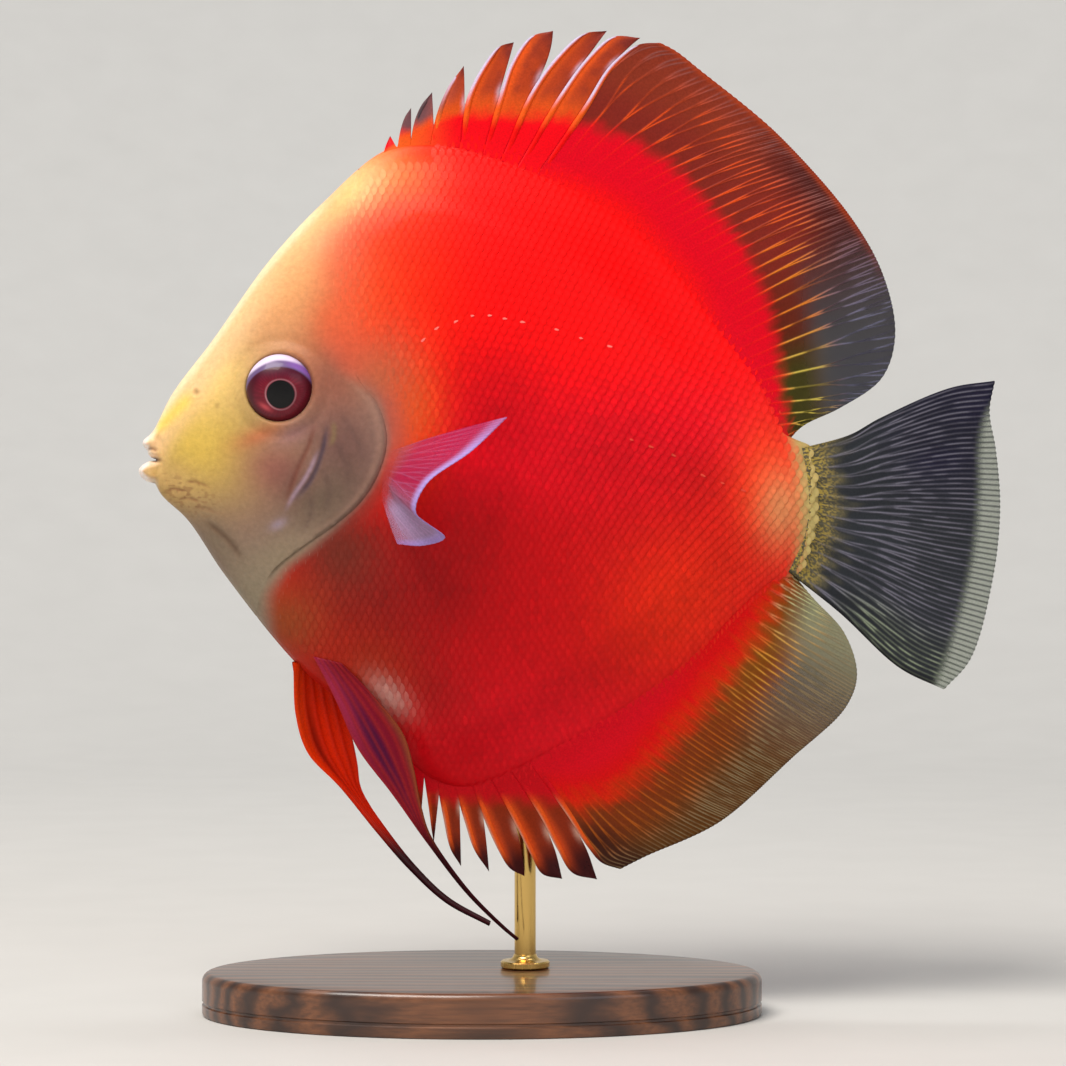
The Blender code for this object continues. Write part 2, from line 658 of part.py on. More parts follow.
def make_tail_fin(look):
    rows = 7
    end = shifted(smooth(TAIL_END, np.linspace(0, 1, TAIL_RAYS)), -GAP)
    hind = smooth(TAIL_HIND_EDGE, np.linspace(0, 1, TAIL_RAYS))
    low = smooth([end[0]] + TAIL_LOWER_EDGE[1:], np.linspace(0, 1, rows))
    high = smooth([end[-1]] + TAIL_UPPER_EDGE[1:], np.linspace(0, 1, rows))
    u = np.linspace(0, 1, rows)[:, None, None]
    v = np.linspace(0, 1, TAIL_RAYS)[None, :, None]
    grid = (1 - v) * low[:, None] + v * high[:, None] + (1 - u) * end[None] + u * hind[None]
    grid -= (1 - u) * (1 - v) * end[0] + (1 - u) * v * end[-1]
    grid -= u * (1 - v) * hind[0] + u * v * hind[-1]
    swing = TAIL_SWING * u[..., 0] ** 2 * np.sin(math.pi * (0.15 + 1.1 * v[..., 0]))
    lines = np.stack([grid[..., 0], swing, grid[..., 1]], axis=2).transpose(1, 0, 2)
    places, halves = fan(lines, stalk_half_width, TAIL_RAY_FOOT)
    make_fan("caudal_fin", places, halves, look)


def make_paired_fins(front_look, look):
    rows = 6
    for side, name in ((-1, "left"), (1, "right")):
        shares = np.linspace(0, 1, PECTORAL_RAYS)
        roots = smooth(PECTORAL_ROOT, shares)
        tips = smooth(PECTORAL_EDGE, shares)
        lines = []
        for root, tip in zip(roots, tips):
            start = np.array([root[0], seat(*root), root[1]])
            tip = tip * (1, -1, 1)
            bend = start + (tip - start) * PECTORAL_BEND
            t = np.linspace(0, 1, rows)[:, None]
            line = (1 - t) ** 2 * start + 2 * t * (1 - t) * bend + t**2 * tip
            lines.append(line * (1, side, 1))
        places, halves = fan(np.array(lines), paired_root_half, PECTORAL_RAY_FOOT)
        make_fan("pectoral_fin_" + name, places, halves, front_look, side)

    rows = 9
    edges = ((-1, "left", PELVIC_LEFT_LEAD, PELVIC_LEFT_TRAIL),
             (1, "right", PELVIC_RIGHT_LEAD, PELVIC_RIGHT_TRAIL))
    for side, name, lead, trail in edges:
        shares = np.linspace(0, 1, rows)
        lead, trail = smooth(lead, shares), smooth(trail, shares)
        lines = []
        for share in np.linspace(0, 1, PELVIC_RAYS):
            line = lead + (trail - lead) * share
            out = seat(*line[0]) * (1 - PELVIC_DRAW_IN * shares**2)
            out += PELVIC_SPLAY * np.sin(math.pi * PELVIC_TURN * shares)
            lines.append(np.column_stack([line[:, 0], side * out, line[:, 1]]))
        places, halves = fan(np.array(lines), paired_root_half, PELVIC_RAY_FOOT)
        make_fan("pelvic_fin_" + name, places, halves, look, side)


def make_fins(look, clear_look, front_look, paired_look):
    base = shifted(stretch(TOP, DORSAL_BASE_START, DORSAL_BASE_END, EVEN), GAP)
    make_spiny_fin("dorsal_fin", base, DORSAL_SPINY_SHARE, DORSAL_SPINE_TIPS, DORSAL_EDGE,
                   DORSAL_SPREAD, DORSAL_SOFT_RAYS, 1, look)
    base = shifted(stretch(BOTTOM, ANAL_BASE_START, ANAL_BASE_END, EVEN), -GAP)
    make_spiny_fin("anal_fin", base, ANAL_SPINY_SHARE, ANAL_SPINE_TIPS, ANAL_EDGE,
                   ANAL_SPREAD, ANAL_SOFT_RAYS, -1, look)
    make_tail_fin(clear_look)
    make_paired_fins(front_look, paired_look)


# Stand

def make_stand(wood, metal):
    floor = LOWEST_TIP - TIP_CLEARANCE - BASE_HEIGHT
    top = floor + BASE_HEIGHT
    radius = BASE_LENGTH / 2
    profile = [(radius - FOOT_BEVEL, floor), (radius, floor + FOOT_BEVEL), (radius, top - BASE_EDGE),
               (radius - 0.3 * BASE_EDGE, top - 0.3 * BASE_EDGE), (radius - BASE_EDGE, top)]
    base = turned("stand_base", profile, (MIDDLE_X, 0.0), wood, 40, BASE_WIDTH / BASE_LENGTH)
    hole = floor + WOOD_UNDER_ROD
    walls = [(ROD_RADIUS + GAP, hole), (ROD_RADIUS + GAP, top + COLLAR_HEIGHT)]
    cut(base, turned("rod_hole", walls, (ROD_X, ROD_Y)))
    foot = top + GAP
    profile = [(ROD_RADIUS, hole + GAP), (ROD_RADIUS, foot), (COLLAR_RADIUS, foot),
               (COLLAR_RADIUS, foot + 0.5 * COLLAR_HEIGHT),
               (0.75 * COLLAR_RADIUS, foot + 0.85 * COLLAR_HEIGHT), (ROD_RADIUS, foot + COLLAR_HEIGHT),
               (ROD_RADIUS, ROD_TOP - ROD_BEVEL), (ROD_RADIUS - ROD_BEVEL, ROD_TOP)]
    turned("stand_rod", profile, (ROD_X, ROD_Y), metal)


for thing in list(bpy.data.objects):
    bpy.data.objects.remove(thing)

scarlet = material("scarlet skin", (0.80, 0.04, 0.01), 0.35)
pale_lip = material("pale lip", (0.85, 0.60, 0.45), 0.40)
wine_eye = material("wine red eye", (0.12, 0.01, 0.03), 0.08)
crimson_fin = material("crimson fin", (0.55, 0.02, 0.02), 0.40)
smoky_fin = material("smoky fin", (0.12, 0.11, 0.16), 0.35)
lilac_fin = material("lilac fin", (0.55, 0.30, 0.45), 0.35)
dark_fin = material("dark red fin", (0.30, 0.02, 0.05), 0.40)
walnut = material("lacquered walnut", (0.09, 0.04, 0.02), 0.25)
brass = material("brass", (0.75, 0.55, 0.25), 0.25, 1.0)

make_body(scarlet, pale_lip, wine_eye)
make_fins(crimson_fin, smoky_fin, lilac_fin, dark_fin)
make_stand(walnut, brass)
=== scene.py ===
import math

import bpy
import numpy as np
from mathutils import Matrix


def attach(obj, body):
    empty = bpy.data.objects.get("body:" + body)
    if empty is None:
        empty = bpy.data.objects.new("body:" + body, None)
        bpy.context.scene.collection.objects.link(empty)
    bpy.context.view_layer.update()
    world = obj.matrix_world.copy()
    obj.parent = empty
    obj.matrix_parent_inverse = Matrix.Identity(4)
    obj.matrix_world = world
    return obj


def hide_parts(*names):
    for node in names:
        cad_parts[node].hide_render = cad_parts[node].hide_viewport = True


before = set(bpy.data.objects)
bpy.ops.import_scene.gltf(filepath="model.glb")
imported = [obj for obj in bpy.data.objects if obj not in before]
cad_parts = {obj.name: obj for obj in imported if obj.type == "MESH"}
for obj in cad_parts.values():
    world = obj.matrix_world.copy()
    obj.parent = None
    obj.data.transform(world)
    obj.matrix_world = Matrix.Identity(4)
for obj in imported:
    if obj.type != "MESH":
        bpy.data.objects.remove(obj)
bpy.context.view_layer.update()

# The fish's own frame and the camera.
# Lengths are millimetres in the fish's frame: X back from the lower lip, Z up from the line of the
# mouth, Y across, with the left flank at -Y. The camera looks level at that flank.
MM = 0.001
PLINTH_MIDDLE_X = 64.0
MOUTH_HEIGHT = 103.0
PHOTO_PIXELS = 1066
MM_PER_PIXEL = 0.186
LIP_PIXEL = (138, 460)
CAMERA_DISTANCE = 600.0


def place(points):
    """Points of the fish's frame, in metres over the middle of the plinth's underside."""
    return (np.asarray(points, float) + (-PLINTH_MIDDLE_X, 0.0, MOUTH_HEIGHT)) * MM


aim_x = (PHOTO_PIXELS / 2 - LIP_PIXEL[0]) * MM_PER_PIXEL
aim_z = (LIP_PIXEL[1] - PHOTO_PIXELS / 2) * MM_PER_PIXEL
camera_data = bpy.data.cameras.new("camera")
camera_data.lens = camera_data.sensor_width * CAMERA_DISTANCE / (PHOTO_PIXELS * MM_PER_PIXEL)
camera = bpy.data.objects.new("camera", camera_data)
camera.location = place((aim_x, -CAMERA_DISTANCE, aim_z))
camera.rotation_euler = (math.radians(90), 0, 0)
bpy.context.scene.collection.objects.link(camera)
bpy.context.scene.camera = camera

# The skin: one thin wet hide from the lips to the root of the tail fin.
# Scarlet on the flanks, cream and rose on the bare head. It is drawn over head, gill covers,
# trunk and tail stalk without a seam, and lies inside them by the depth of the scales.
SKIN_INSET = 0.2
LIP_PROFILE = [(3.2, -4.3), (1.6, -3.9), (0.5, -3.0), (0.15, -1.9), (0.8, -1.0), (2.0, -0.3),
               (3.5, 0.0), (2.5, 0.5), (1.9, 1.2), (1.8, 1.9), (1.2, 2.4), (0.9, 3.0),
               (1.1, 3.7), (1.8, 4.3), (2.5, 4.9), (3.2, 5.9)]
TOP_OUTLINE = [(3.2, 5.9), (6.6, 12.4), (13.9, 22.1), (24.2, 36.6), (34.0, 47.3), (45.9, 57.0),
               (54.3, 58.4), (67.3, 55.4), (85.9, 47.2), (97.3, 37.8), (106.8, 25.5),
               (115.5, 13.9), (120.3, 4.6), (124.6, 2.4)]
BOTTOM_OUTLINE = [(3.2, -4.3), (4.4, -6.4), (9.3, -11.0), (16.2, -21.2), (29.6, -37.8),
                  (39.4, -46.2), (49.1, -54.6), (54.8, -59.2), (61.5, -60.6), (78.5, -53.0),
                  (100.8, -38.4), (110.1, -29.2), (116.6, -23.2), (122.0, -21.3)]
TAIL_END = [(122.0, -21.3), (124.8, -15.0), (125.8, -9.0), (125.6, -3.5), (124.6, 2.4)]
HEAD_EDGE = [(22.0, -28.6), (25.2, -21.0), (30.6, -16.4), (37.0, -12.0), (42.0, -7.6),
             (45.2, -2.4), (46.6, 3.4), (45.2, 9.2), (41.4, 14.6), (38.6, 21.5), (38.0, 31.0),
             (39.0, 43.0), (41.0, 53.7)]
WIDTH_STATIONS = [0.0, 3.3, 8.0, 16.0, 26.0, 38.0, 52.0, 66.0, 82.0, 98.0, 112.0, 126.0]
HALF_WIDTHS = [2.6, 3.4, 5.2, 8.2, 10.8, 12.6, 13.0, 12.2, 9.8, 6.8, 4.2, 2.3]
ROUND_SECTION = 0.52
LEAN_SECTION = 0.74
SECTION_CHANGE = (20.0, 50.0)
BARE_RIM = 0.45
FIN_RIM = 1.15
EDGE_FALL = 0.5
EDGE_REACH = 13.0
EYE_X, EYE_Z = 27.2, 12.9
ORBIT_CREST = 6.75
ORBIT_LIFT = 0.32
GILL_LIFT = 0.15
CHEEK_GROOVES = [[(34.0, 7.4), (32.6, 2.4), (30.5, -2.0), (28.5, -7.4), (27.5, -10.2)],
                 [(36.1, 6.9), (35.2, 1.7), (33.3, -3.3), (30.9, -6.7), (28.8, -9.1)]]
THROAT_CREASE = [(12.6, -11.0), (15.8, -13.6), (18.6, -16.4), (20.6, -20.0)]
MOUTH_FOLD = [(3.5, 5.0), (4.7, 3.0), (4.9, 0.6), (4.3, -1.6), (3.7, -3.6)]
LIP_FOLD = [(1.9, 2.1), (3.2, 1.9), (4.3, 1.3)]
MOUTH_CORNER = [(2.4, 0.1), (3.6, -0.1), (4.9, -0.9)]
JAW_WRINKLES = [[(5.4, -5.6), (7.6, -5.4), (9.8, -6.2)], [(7.4, -7.4), (10.2, -7.2), (13.0, -8.2)],
                [(10.4, -9.0), (13.0, -9.0), (15.4, -10.0)], [(9.2, -4.0), (12.0, -4.4), (14.6, -5.4)]]
COVER_RAYS = [[(38.0, 9.0), (41.6, 3.0), (43.4, -1.6)], [(37.0, 4.0), (39.6, -1.6), (39.8, -7.0)],
              [(35.0, -1.0), (36.4, -6.4), (35.0, -11.4)], [(32.6, -5.4), (33.0, -10.2), (30.4, -14.6)]]
HEAD_FOLDS = [(CHEEK_GROOVES[0], 0.14, 0.5), (CHEEK_GROOVES[1], 0.24, 0.42),
              (THROAT_CREASE, 0.25, 0.6), (MOUTH_FOLD, 0.28, 0.5), (LIP_FOLD, 0.3, 0.3),
              (MOUTH_CORNER, 0.4, 0.3)]
HEAD_FOLDS += [(wrinkle, 0.1, 0.3) for wrinkle in JAW_WRINKLES]
HEAD_FOLDS += [(ray, 0.1, 0.8) for ray in COVER_RAYS]


def resample(points, shares):
    """Points at the given shares of the length of a run of straight steps."""
    points = np.asarray(points, float)
    steps = np.linalg.norm(np.diff(points, axis=0), axis=1)
    length = np.concatenate([[0.0], np.cumsum(steps)])
    wanted = np.asarray(shares, float) * length[-1]
    return np.stack([np.interp(wanted, length, column) for column in points.T], axis=1)


def smooth(points, shares):
    """Points at the given shares of the length of a smooth curve through points."""
    points = np.asarray(points, float)
    steps = np.linalg.norm(np.diff(points, axis=0), axis=1) ** 0.5
    knots = np.concatenate([[0.0], np.cumsum(steps)])
    slopes = np.diff(points, axis=0) / steps[:, None]
    tangents = np.vstack([slopes[:1], slopes])
    before, after = steps[:-1, None], steps[1:, None]
    tangents[1:-1] = (slopes[:-1] * after + slopes[1:] * before) / (before + after)
    fine = np.linspace(0.0, knots[-1], 40 * len(points))
    span = np.clip(np.searchsorted(knots, fine, side="right") - 1, 0, len(steps) - 1)
    width = steps[span][:, None]
    t = (fine - knots[span])[:, None] / width
    curve = (points[span] * (2 * t**3 - 3 * t**2 + 1) + points[span + 1] * (3 * t**2 - 2 * t**3)
             + width * tangents[span] * (t**3 - 2 * t**2 + t)
             + width * tangents[span + 1] * (t**3 - t**2))
    return resample(curve, shares)


def stretch(curve, start_x, end_x, shares):
    """Points at the given shares of that part of a curve that lies between two values of X."""
    inside = curve[(curve[:, 0] > start_x) & (curve[:, 0] < end_x)]
    ends = [[x, np.interp(x, curve[:, 0], curve[:, 1])] for x in (start_x, end_x)]
    return resample(np.vstack([ends[0], inside, ends[1]]), shares)


def shifted(curve, distance):
    """A curve moved sideways, to the left of its own direction where distance is positive."""
    along = np.gradient(curve, axis=0)
    along /= np.linalg.norm(along, axis=1)[:, None]
    return curve + distance * np.stack([-along[:, 1], along[:, 0]], axis=1)


def ramp(value, start, end):
    """A soft step from 0 at start to 1 at end."""
    share = np.clip((value - start) / (end - start), 0.0, 1.0)
    return share * share * (3 - 2 * share)


def spot(x, z, middle_x, middle_z, length, height, tilt=0.0):
    """A soft oval: 1 in its middle and fading out. Its length lies at tilt degrees."""
    turn = math.radians(tilt)
    along = (x - middle_x) * math.cos(turn) + (z - middle_z) * math.sin(turn)
    across = (z - middle_z) * math.cos(turn) - (x - middle_x) * math.sin(turn)
    return np.exp(-((along / length) ** 2) - (across / height) ** 2)


def off_curve(curve, x, z):
    """Distance of places in the side view to a curve, positive to the left of its direction."""
    flat = np.column_stack([np.ravel(x), np.ravel(z)])
    nearest = np.full(len(flat), np.inf)
    side = np.ones(len(flat))
    for start, step in zip(curve[:-1], np.diff(curve, axis=0)):
        away = flat - start
        share = np.clip(away @ step / (step @ step + 1e-12), 0, 1)
        gap = np.linalg.norm(away - share[:, None] * step, axis=1)
        closer = gap < nearest
        nearest[closer] = gap[closer]
        side[closer] = np.sign(step[0] * away[:, 1] - step[1] * away[:, 0])[closer]
    return (nearest * side).reshape(np.shape(x))


EVEN = np.linspace(0.0, 1.0, 400)
TOP = smooth(TOP_OUTLINE, EVEN)
BOTTOM = smooth(BOTTOM_OUTLINE, EVEN)
WIDTHS = smooth(list(zip(WIDTH_STATIONS, HALF_WIDTHS)), EVEN)
LIPS = smooth(LIP_PROFILE, EVEN)
YELLOW_STREAK = smooth([(1.8, 4.6), (4.6, 6.4), (8.0, 9.4), (12.0, 13.4)], EVEN[::20])
GREEN_GLEAM = [(37.2, 7.0), (37.2, 4.0), (36.4, 1.6)]
EDGE = smooth(HEAD_EDGE, EVEN)
MUZZLE = np.vstack([BOTTOM[BOTTOM[:, 0] < 12][::-1], LIPS[::4], TOP[TOP[:, 0] < 12]])


def half_width(x, z):
    """How far the trunk's plain surface lies from the middle plane at a place in the side view."""
    top = np.interp(x, TOP[:, 0], TOP[:, 1])
    bottom = np.interp(x, BOTTOM[:, 0], BOTTOM[:, 1])
    height = np.clip((2 * z - top - bottom) / (top - bottom), -1.0, 1.0)
    back_rim = np.clip((x - 36.0) / 10.0, 0, 1)
    belly_rim = np.clip((x - 44.0) / 10.0, 0, 1)
    rim = BARE_RIM + (FIN_RIM - BARE_RIM) * np.where(height > 0, back_rim, belly_rim)
    widest = np.interp(x, WIDTHS[:, 0], WIDTHS[:, 1])
    lean = np.clip((x - SECTION_CHANGE[0]) / (SECTION_CHANGE[1] - SECTION_CHANGE[0]), 0, 1)
    power = ROUND_SECTION + (LEAN_SECTION - ROUND_SECTION) * lean
    return rim + (widest - rim) * (1.0 - height**2) ** power


def behind_head(x, z):
    """How far a place lies behind the hind edge of the gill cover and the nape."""
    return x - np.interp(z, EDGE[:, 1], EDGE[:, 0])


def gill_window(z):
    """1 where the gill cover's edge stands free, 0 on the nape and the throat."""
    return ramp(z, -23.0, -15.0) * (1 - ramp(z, 10.0, 17.0))


def fin_edge_fall(x, z):
    """How much of the flank's height the skin keeps where it runs out into the fins."""
    back = np.abs(off_curve(TOP[::10], x, z))
    belly = np.abs(off_curve(BOTTOM[::10], x, z))
    keep = 1 - EDGE_FALL * (1 - ramp(back, 0.0, EDGE_REACH)) * ramp(x, 40.0, 52.0)
    return keep * (1 - EDGE_FALL * (1 - ramp(belly, 0.0, EDGE_REACH)) * ramp(x, 52.0, 62.0))


def groove_line(curve, x, z, breadth):
    """A soft line along a curve: 1 on it, fading to its sides and toward both its ends."""
    off = off_curve(curve, x, z)
    start, end = curve[0], curve[-1]
    along = (x - start[0]) * (end[0] - start[0]) + (z - start[1]) * (end[1] - start[1])
    share = along / ((end - start) @ (end - start))
    return np.exp(-((off / breadth) ** 2)) * ramp(share, -0.02, 0.25) * ramp(share, 1.02, 0.7)


def muzzle_width(x, z):
    """The lips: rolls of flesh bent round the mouth like a horseshoe."""
    inward = np.clip(np.abs(off_curve(MUZZLE, x, z)) / 1.5, 0, 1)
    reach = 3.3 * np.sqrt(np.clip(1 - ((4.3 - x) / 4.5) ** 2, 0.02, 1))
    rolls = 0.35 * spot(x, z, 2.3, 3.2, 1.5, 0.9) + 0.3 * spot(x, z, 3.0, 1.1, 1.4, 0.6)
    rolls += 0.4 * spot(x, z, 1.7, -1.7, 1.5, 1.1) + 0.2 * spot(x, z, 2.6, -3.4, 1.2, 0.7)
    return 0.25 + (reach + rolls) * np.sqrt(1 - (1 - inward) ** 2)


def skin_width(x, z):
    """Half the width over the skin, with the head's folds, pits and swellings."""
    width = half_width(x, z)
    finned = x > 40.0
    width[finned] = FIN_RIM + (width[finned] - FIN_RIM) * fin_edge_fall(x[finned], z[finned])
    near = x < 8.0
    blend = ramp(x[near], 3.0, 6.5)
    width[near] = width[near] * blend + muzzle_width(x[near], z[near]) * (1 - blend)
    width = width + 0.5 * spot(x, z, 38.0, 2.0, 7.0, 13.0, 20) + 0.3 * spot(x, z, 22.0, -2.0, 8.0, 7.0)
    width += 0.25 * spot(x, z, 15.0, 7.0, 8.0, 5.0, 30) - 0.2 * spot(x, z, 19.0, 20.0, 8.0, 2.5, 55)
    head = (x > 2.0) & (x < 48.0)
    hx, hz = x[head], z[head]
    fold = np.zeros(len(hx))
    for groove, depth, breadth in HEAD_FOLDS:
        fold -= depth * groove_line(smooth(groove, EVEN[::20]), hx, hz, breadth)
    nostril = np.hypot(hx - 11.4, hz - 12.3)
    fold += 0.14 * np.exp(-(((nostril - 0.95) / 0.35) ** 2)) - 0.4 * np.exp(-((nostril / 0.55) ** 2))
    eye = np.hypot(hx - EYE_X, hz - EYE_Z)
    fold += ORBIT_LIFT * np.exp(-(((eye - ORBIT_CREST) / 1.1) ** 2))
    fold -= 0.2 * np.exp(-(((eye - 9.0) / 0.8) ** 2))
    inside = np.clip((ORBIT_CREST - eye) / 0.75, 0, 1.3)
    fold -= 1.1 * inside**2
    width[head] += fold
    gap = behind_head(x, z)
    width += GILL_LIFT * gill_window(z) * np.where(gap <= 0, ramp(gap, -7.0, 0.0) ** 2, 0.0)
    width -= 0.08 * gill_window(z) * np.where(gap > 0, np.exp(-((gap / 1.2) ** 2)), 0.0)
    return width


def linear(code):
    """Linear red, green and blue of an sRGB hex colour."""
    parts = np.array([int(code[i:i + 2], 16) for i in (1, 3, 5)]) / 255
    return np.where(parts <= 0.04045, parts / 12.92, ((parts + 0.055) / 1.055) ** 2.4)


def clouds(x, z, size, seed):
    """Soft random blotches from 0 to 1, with hills about size millimetres across."""
    grid = np.random.default_rng(seed).random((64, 64))
    u, v = np.asarray(x) / size % 64, np.asarray(z) / size % 64
    i, j = u.astype(int), v.astype(int)
    du, dv = u - i, v - j
    du, dv = du * du * (3 - 2 * du), dv * dv * (3 - 2 * dv)
    i, j, k, m = i % 64, j % 64, (i + 1) % 64, (j + 1) % 64
    return ((grid[i, j] * (1 - du) + grid[k, j] * du) * (1 - dv)
            + (grid[i, m] * (1 - du) + grid[k, m] * du) * dv)


def washed(colour, code, mask):
    """A colour with another laid over it where mask is high."""
    return colour + (linear(code) - colour) * np.clip(mask, 0, 1)[..., None]


def trunk_colour(x, z):
    colour = np.zeros(np.shape(x) + (3,)) + linear("#F60204")
    colour = washed(colour, "#E0021A", ramp(z, 22, 2) * ramp(x, 48, 60))
    colour = washed(colour, "#C4040E", ramp(z, 2, -16))
    colour = washed(colour, "#B80010", 0.8 * spot(x, z, 66, 8, 9, 10))
    colour = washed(colour, "#C8020E", 0.5 * spot(x, z, 62, 16, 13, 7))
    colour = washed(colour, "#BE0410", 0.65 * spot(x, z, 86, 0, 13, 9))
    colour = washed(colour, "#B4060C", 0.7 * spot(x, z, 104, -4, 9, 7, -30))
    colour = washed(colour, "#DE0A1C", spot(x, z, 76, -50, 24, 10))
    colour = washed(colour, "#F02404", 0.8 * spot(x, z, 50, 36, 9, 22))
    colour = washed(colour, "#E4481E", 0.9 * spot(x, z, 41, 30, 7, 24))
    colour = washed(colour, "#D2561C", 0.7 * spot(x, z, 51, 8, 5, 10))
    colour = washed(colour, "#B05E40", 0.95 * spot(x, z, 44.5, 13, 6, 10, -10))
    colour = washed(colour, "#7C100C", 0.8 * spot(x, z, 45, -27, 15, 13, -30))
    colour = washed(colour, "#860E0E", 0.6 * spot(x, z, 53, -42, 10, 6, -35))
    colour = washed(colour, "#6A2A1E", 0.95 * spot(x, z, 38, -17, 9, 9, -45))
    colour = washed(colour, "#8E4420", 0.9 * spot(x, z, 27, -30, 8, 8, -40))
    colour = washed(colour, "#98320E", 0.6 * spot(x, z, 42, -40, 8, 8, -40))
    colour = washed(colour, "#860E12", 0.3 * spot(x, z, 54, -18, 12, 9))
    colour = washed(colour, "#BE8A80", 0.85 * spot(x, z, 46.3, -43.6, 4.5, 2.4, -45))
    colour = washed(colour, "#E62A06", 0.8 * spot(x, z, 100, -26, 16, 13, 40))
    colour = washed(colour, "#F23E14", 0.9 * spot(x, z, 117, -4, 7, 12))
    colour = washed(colour, "#C88454", 0.85 * spot(x, z, 119, -9, 4.5, 7))
    colour = washed(colour, "#A8A064", 0.9 * ramp(x + 0.008 * (z + 9) ** 2, 120.5, 124.5))
    band = np.exp(-(((behind_head(x, z) - 0.8) / 3.2) ** 2)) * gill_window(z)
    colour = washed(colour, "#A0584A", 0.75 * band * ramp(z, -6, 4))
    colour = washed(colour, "#74382E", 0.7 * band * (1 - ramp(z, -6, 4)))
    return washed(colour, "#F06A20", 0.75 * spot(x, z, 47, 53, 7, 6))


def head_colour(x, z):
    colour = np.zeros(np.shape(x) + (3,)) + linear("#86695F")
    above = z - np.interp(x, TOP[:, 0], TOP[:, 1])
    colour = washed(colour, "#CE9463", spot(x, z, 27, 30, 14, 16, 50))
    colour = washed(colour, "#C86A3C", 0.8 * spot(x, z, 36, 25, 6, 12))
    colour = washed(colour, "#CCAC50", spot(x, z, 12, 3, 13, 11))
    colour = washed(colour, "#ECC878", 0.85 * spot(x, z, 14.5, 15, 8, 6, 50))
    colour = washed(colour, "#C8A468", 0.8 * spot(x, z, 6.5, -4.5, 6, 4, -30))
    colour = washed(colour, "#E6BD8B", ramp(above, -14, -3) * ramp(x, 46, 32))
    colour = washed(colour, "#DE9C62", 0.7 * spot(x, z, 31, 35, 10, 5, 50))
    # A painted highlight: a thin pale band along the top outline of the forehead and brow.
    colour = washed(colour, "#F2DEB6", 0.8 * ramp(above, -3.5, -0.5) * ramp(x, 48, 38))
    colour = washed(colour, "#E8C850", 0.7 * groove_line(YELLOW_STREAK, x, z, 1.4))
    colour = washed(colour, "#C0683C", 0.7 * spot(x, z, 23.6, 4.2, 5.0, 1.8, 20))
    colour = washed(colour, "#905850", 0.85 * spot(x, z, 26.5, -2.0, 7.5, 5.5, -25))
    colour = washed(colour, "#6A443E", 0.6 * spot(x, z, 30.0, -5.0, 4.5, 3.2, -60))
    colour = washed(colour, "#8C6468", 0.7 * spot(x, z, 30.0, 4.6, 4.5, 2.0, 25))
    colour = washed(colour, "#8E5444", 0.85 * spot(x, z, 37, 15, 6, 8))
    colour = washed(colour, "#70504A", spot(x, z, 39, 1, 6, 10, 20))
    colour = washed(colour, "#6A574A", spot(x, z, 35, -8, 9, 6, 35))
    colour = washed(colour, "#887863", 0.9 * spot(x, z, 27, -18, 9, 5, 30))
    colour = washed(colour, "#7C6C5A", 0.85 * spot(x, z, 15, -15, 7, 4, -50))
    colour = washed(colour, "#8C7F6A", 0.95 * spot(x, z, 22, -25, 8, 7, -50))
    for ray in COVER_RAYS:
        line = groove_line(smooth(ray, EVEN[::20]), x, z, 0.6)
        colour = washed(colour, "#55403E", 0.3 * line)
    for groove, code, strength in ((CHEEK_GROOVES[0], "#6A382E", 0.6), (CHEEK_GROOVES[1], "#463A48", 0.8)):
        colour = washed(colour, code, strength * groove_line(smooth(groove, EVEN[::20]), x, z, 0.5))
    # A painted highlight: a pale lilac glint along a line between the two cheek grooves.
    gill_glint_line = smooth([(34.6, 2.0), (32.4, -2.8), (29.6, -7.0), (27.6, -10.8)], EVEN[::20])
    colour = washed(colour, "#A890A4", 0.6 * groove_line(gill_glint_line, x, z, 0.4))
    colour = washed(colour, "#8E8048", 0.3 * groove_line(smooth(GREEN_GLEAM, EVEN[::20]), x, z, 0.5))
    colour = washed(colour, "#9A8A9C", 0.6 * spot(x, z, 26.8, -12.0, 1.6, 0.9, 30))
    crease = groove_line(smooth(THROAT_CREASE, EVEN[::20]), x, z, 0.7)
    colour = washed(colour, "#5A4232", 0.6 * crease)
    for wrinkle in JAW_WRINKLES:
        line = groove_line(smooth(wrinkle, EVEN[::20]), x, z, 0.35)
        colour = washed(colour, "#7A4A34", 0.5 * line * (0.4 + clouds(x, z, 0.7, 6)))
    marks = ramp(clouds(x, 1.6 * z, 0.7, 5), 0.6, 0.8) * spot(x, z, 9.5, -6.5, 6, 3.2, -20)
    colour = washed(colour, "#7A4A34", 0.5 * marks)
    nostril = 0.7 * np.exp(-((np.hypot(x - 11.4, z - 12.3) / 0.5) ** 2))
    nostril += 0.5 * np.exp(-((np.hypot(x - 15.4, z - 9.8) / 0.5) ** 2))
    colour = washed(colour, "#6A4A2C", 0.7 * nostril)
    off = behind_head(x, z)
    # A faint painted highlight along the gill cover's free hind edge, just inside it.
    rim = np.exp(-(((off + 1.1) / 0.7) ** 2)) * gill_window(z)
    colour = washed(colour, "#B88C78", 0.2 * rim * ramp(z, -16, -6))
    lips = np.abs(off_curve(MUZZLE, x, z))
    pale = ramp(lips, 1.4, 0.5) * (ramp(x, 2.9, 1.5) + 0.5 * ramp(x, 4.6, 3.0))
    colour = washed(colour, "#F0E2D8", 0.85 * pale)
    colour = washed(colour, "#C09848", 0.5 * spot(x, z, 3.4, -2.2, 1.0, 1.2, -20))
    colour = washed(colour, "#8A5A40", 0.7 * groove_line(smooth(LIP_FOLD, EVEN[::20]), x, z, 0.3))
    # Painted shade: a dark streak deep in the slit of the mouth.
    return washed(colour, "#4A1C18", 0.85 * spot(x, z, 3.4, 0.05, 1.3, 0.35, -8))


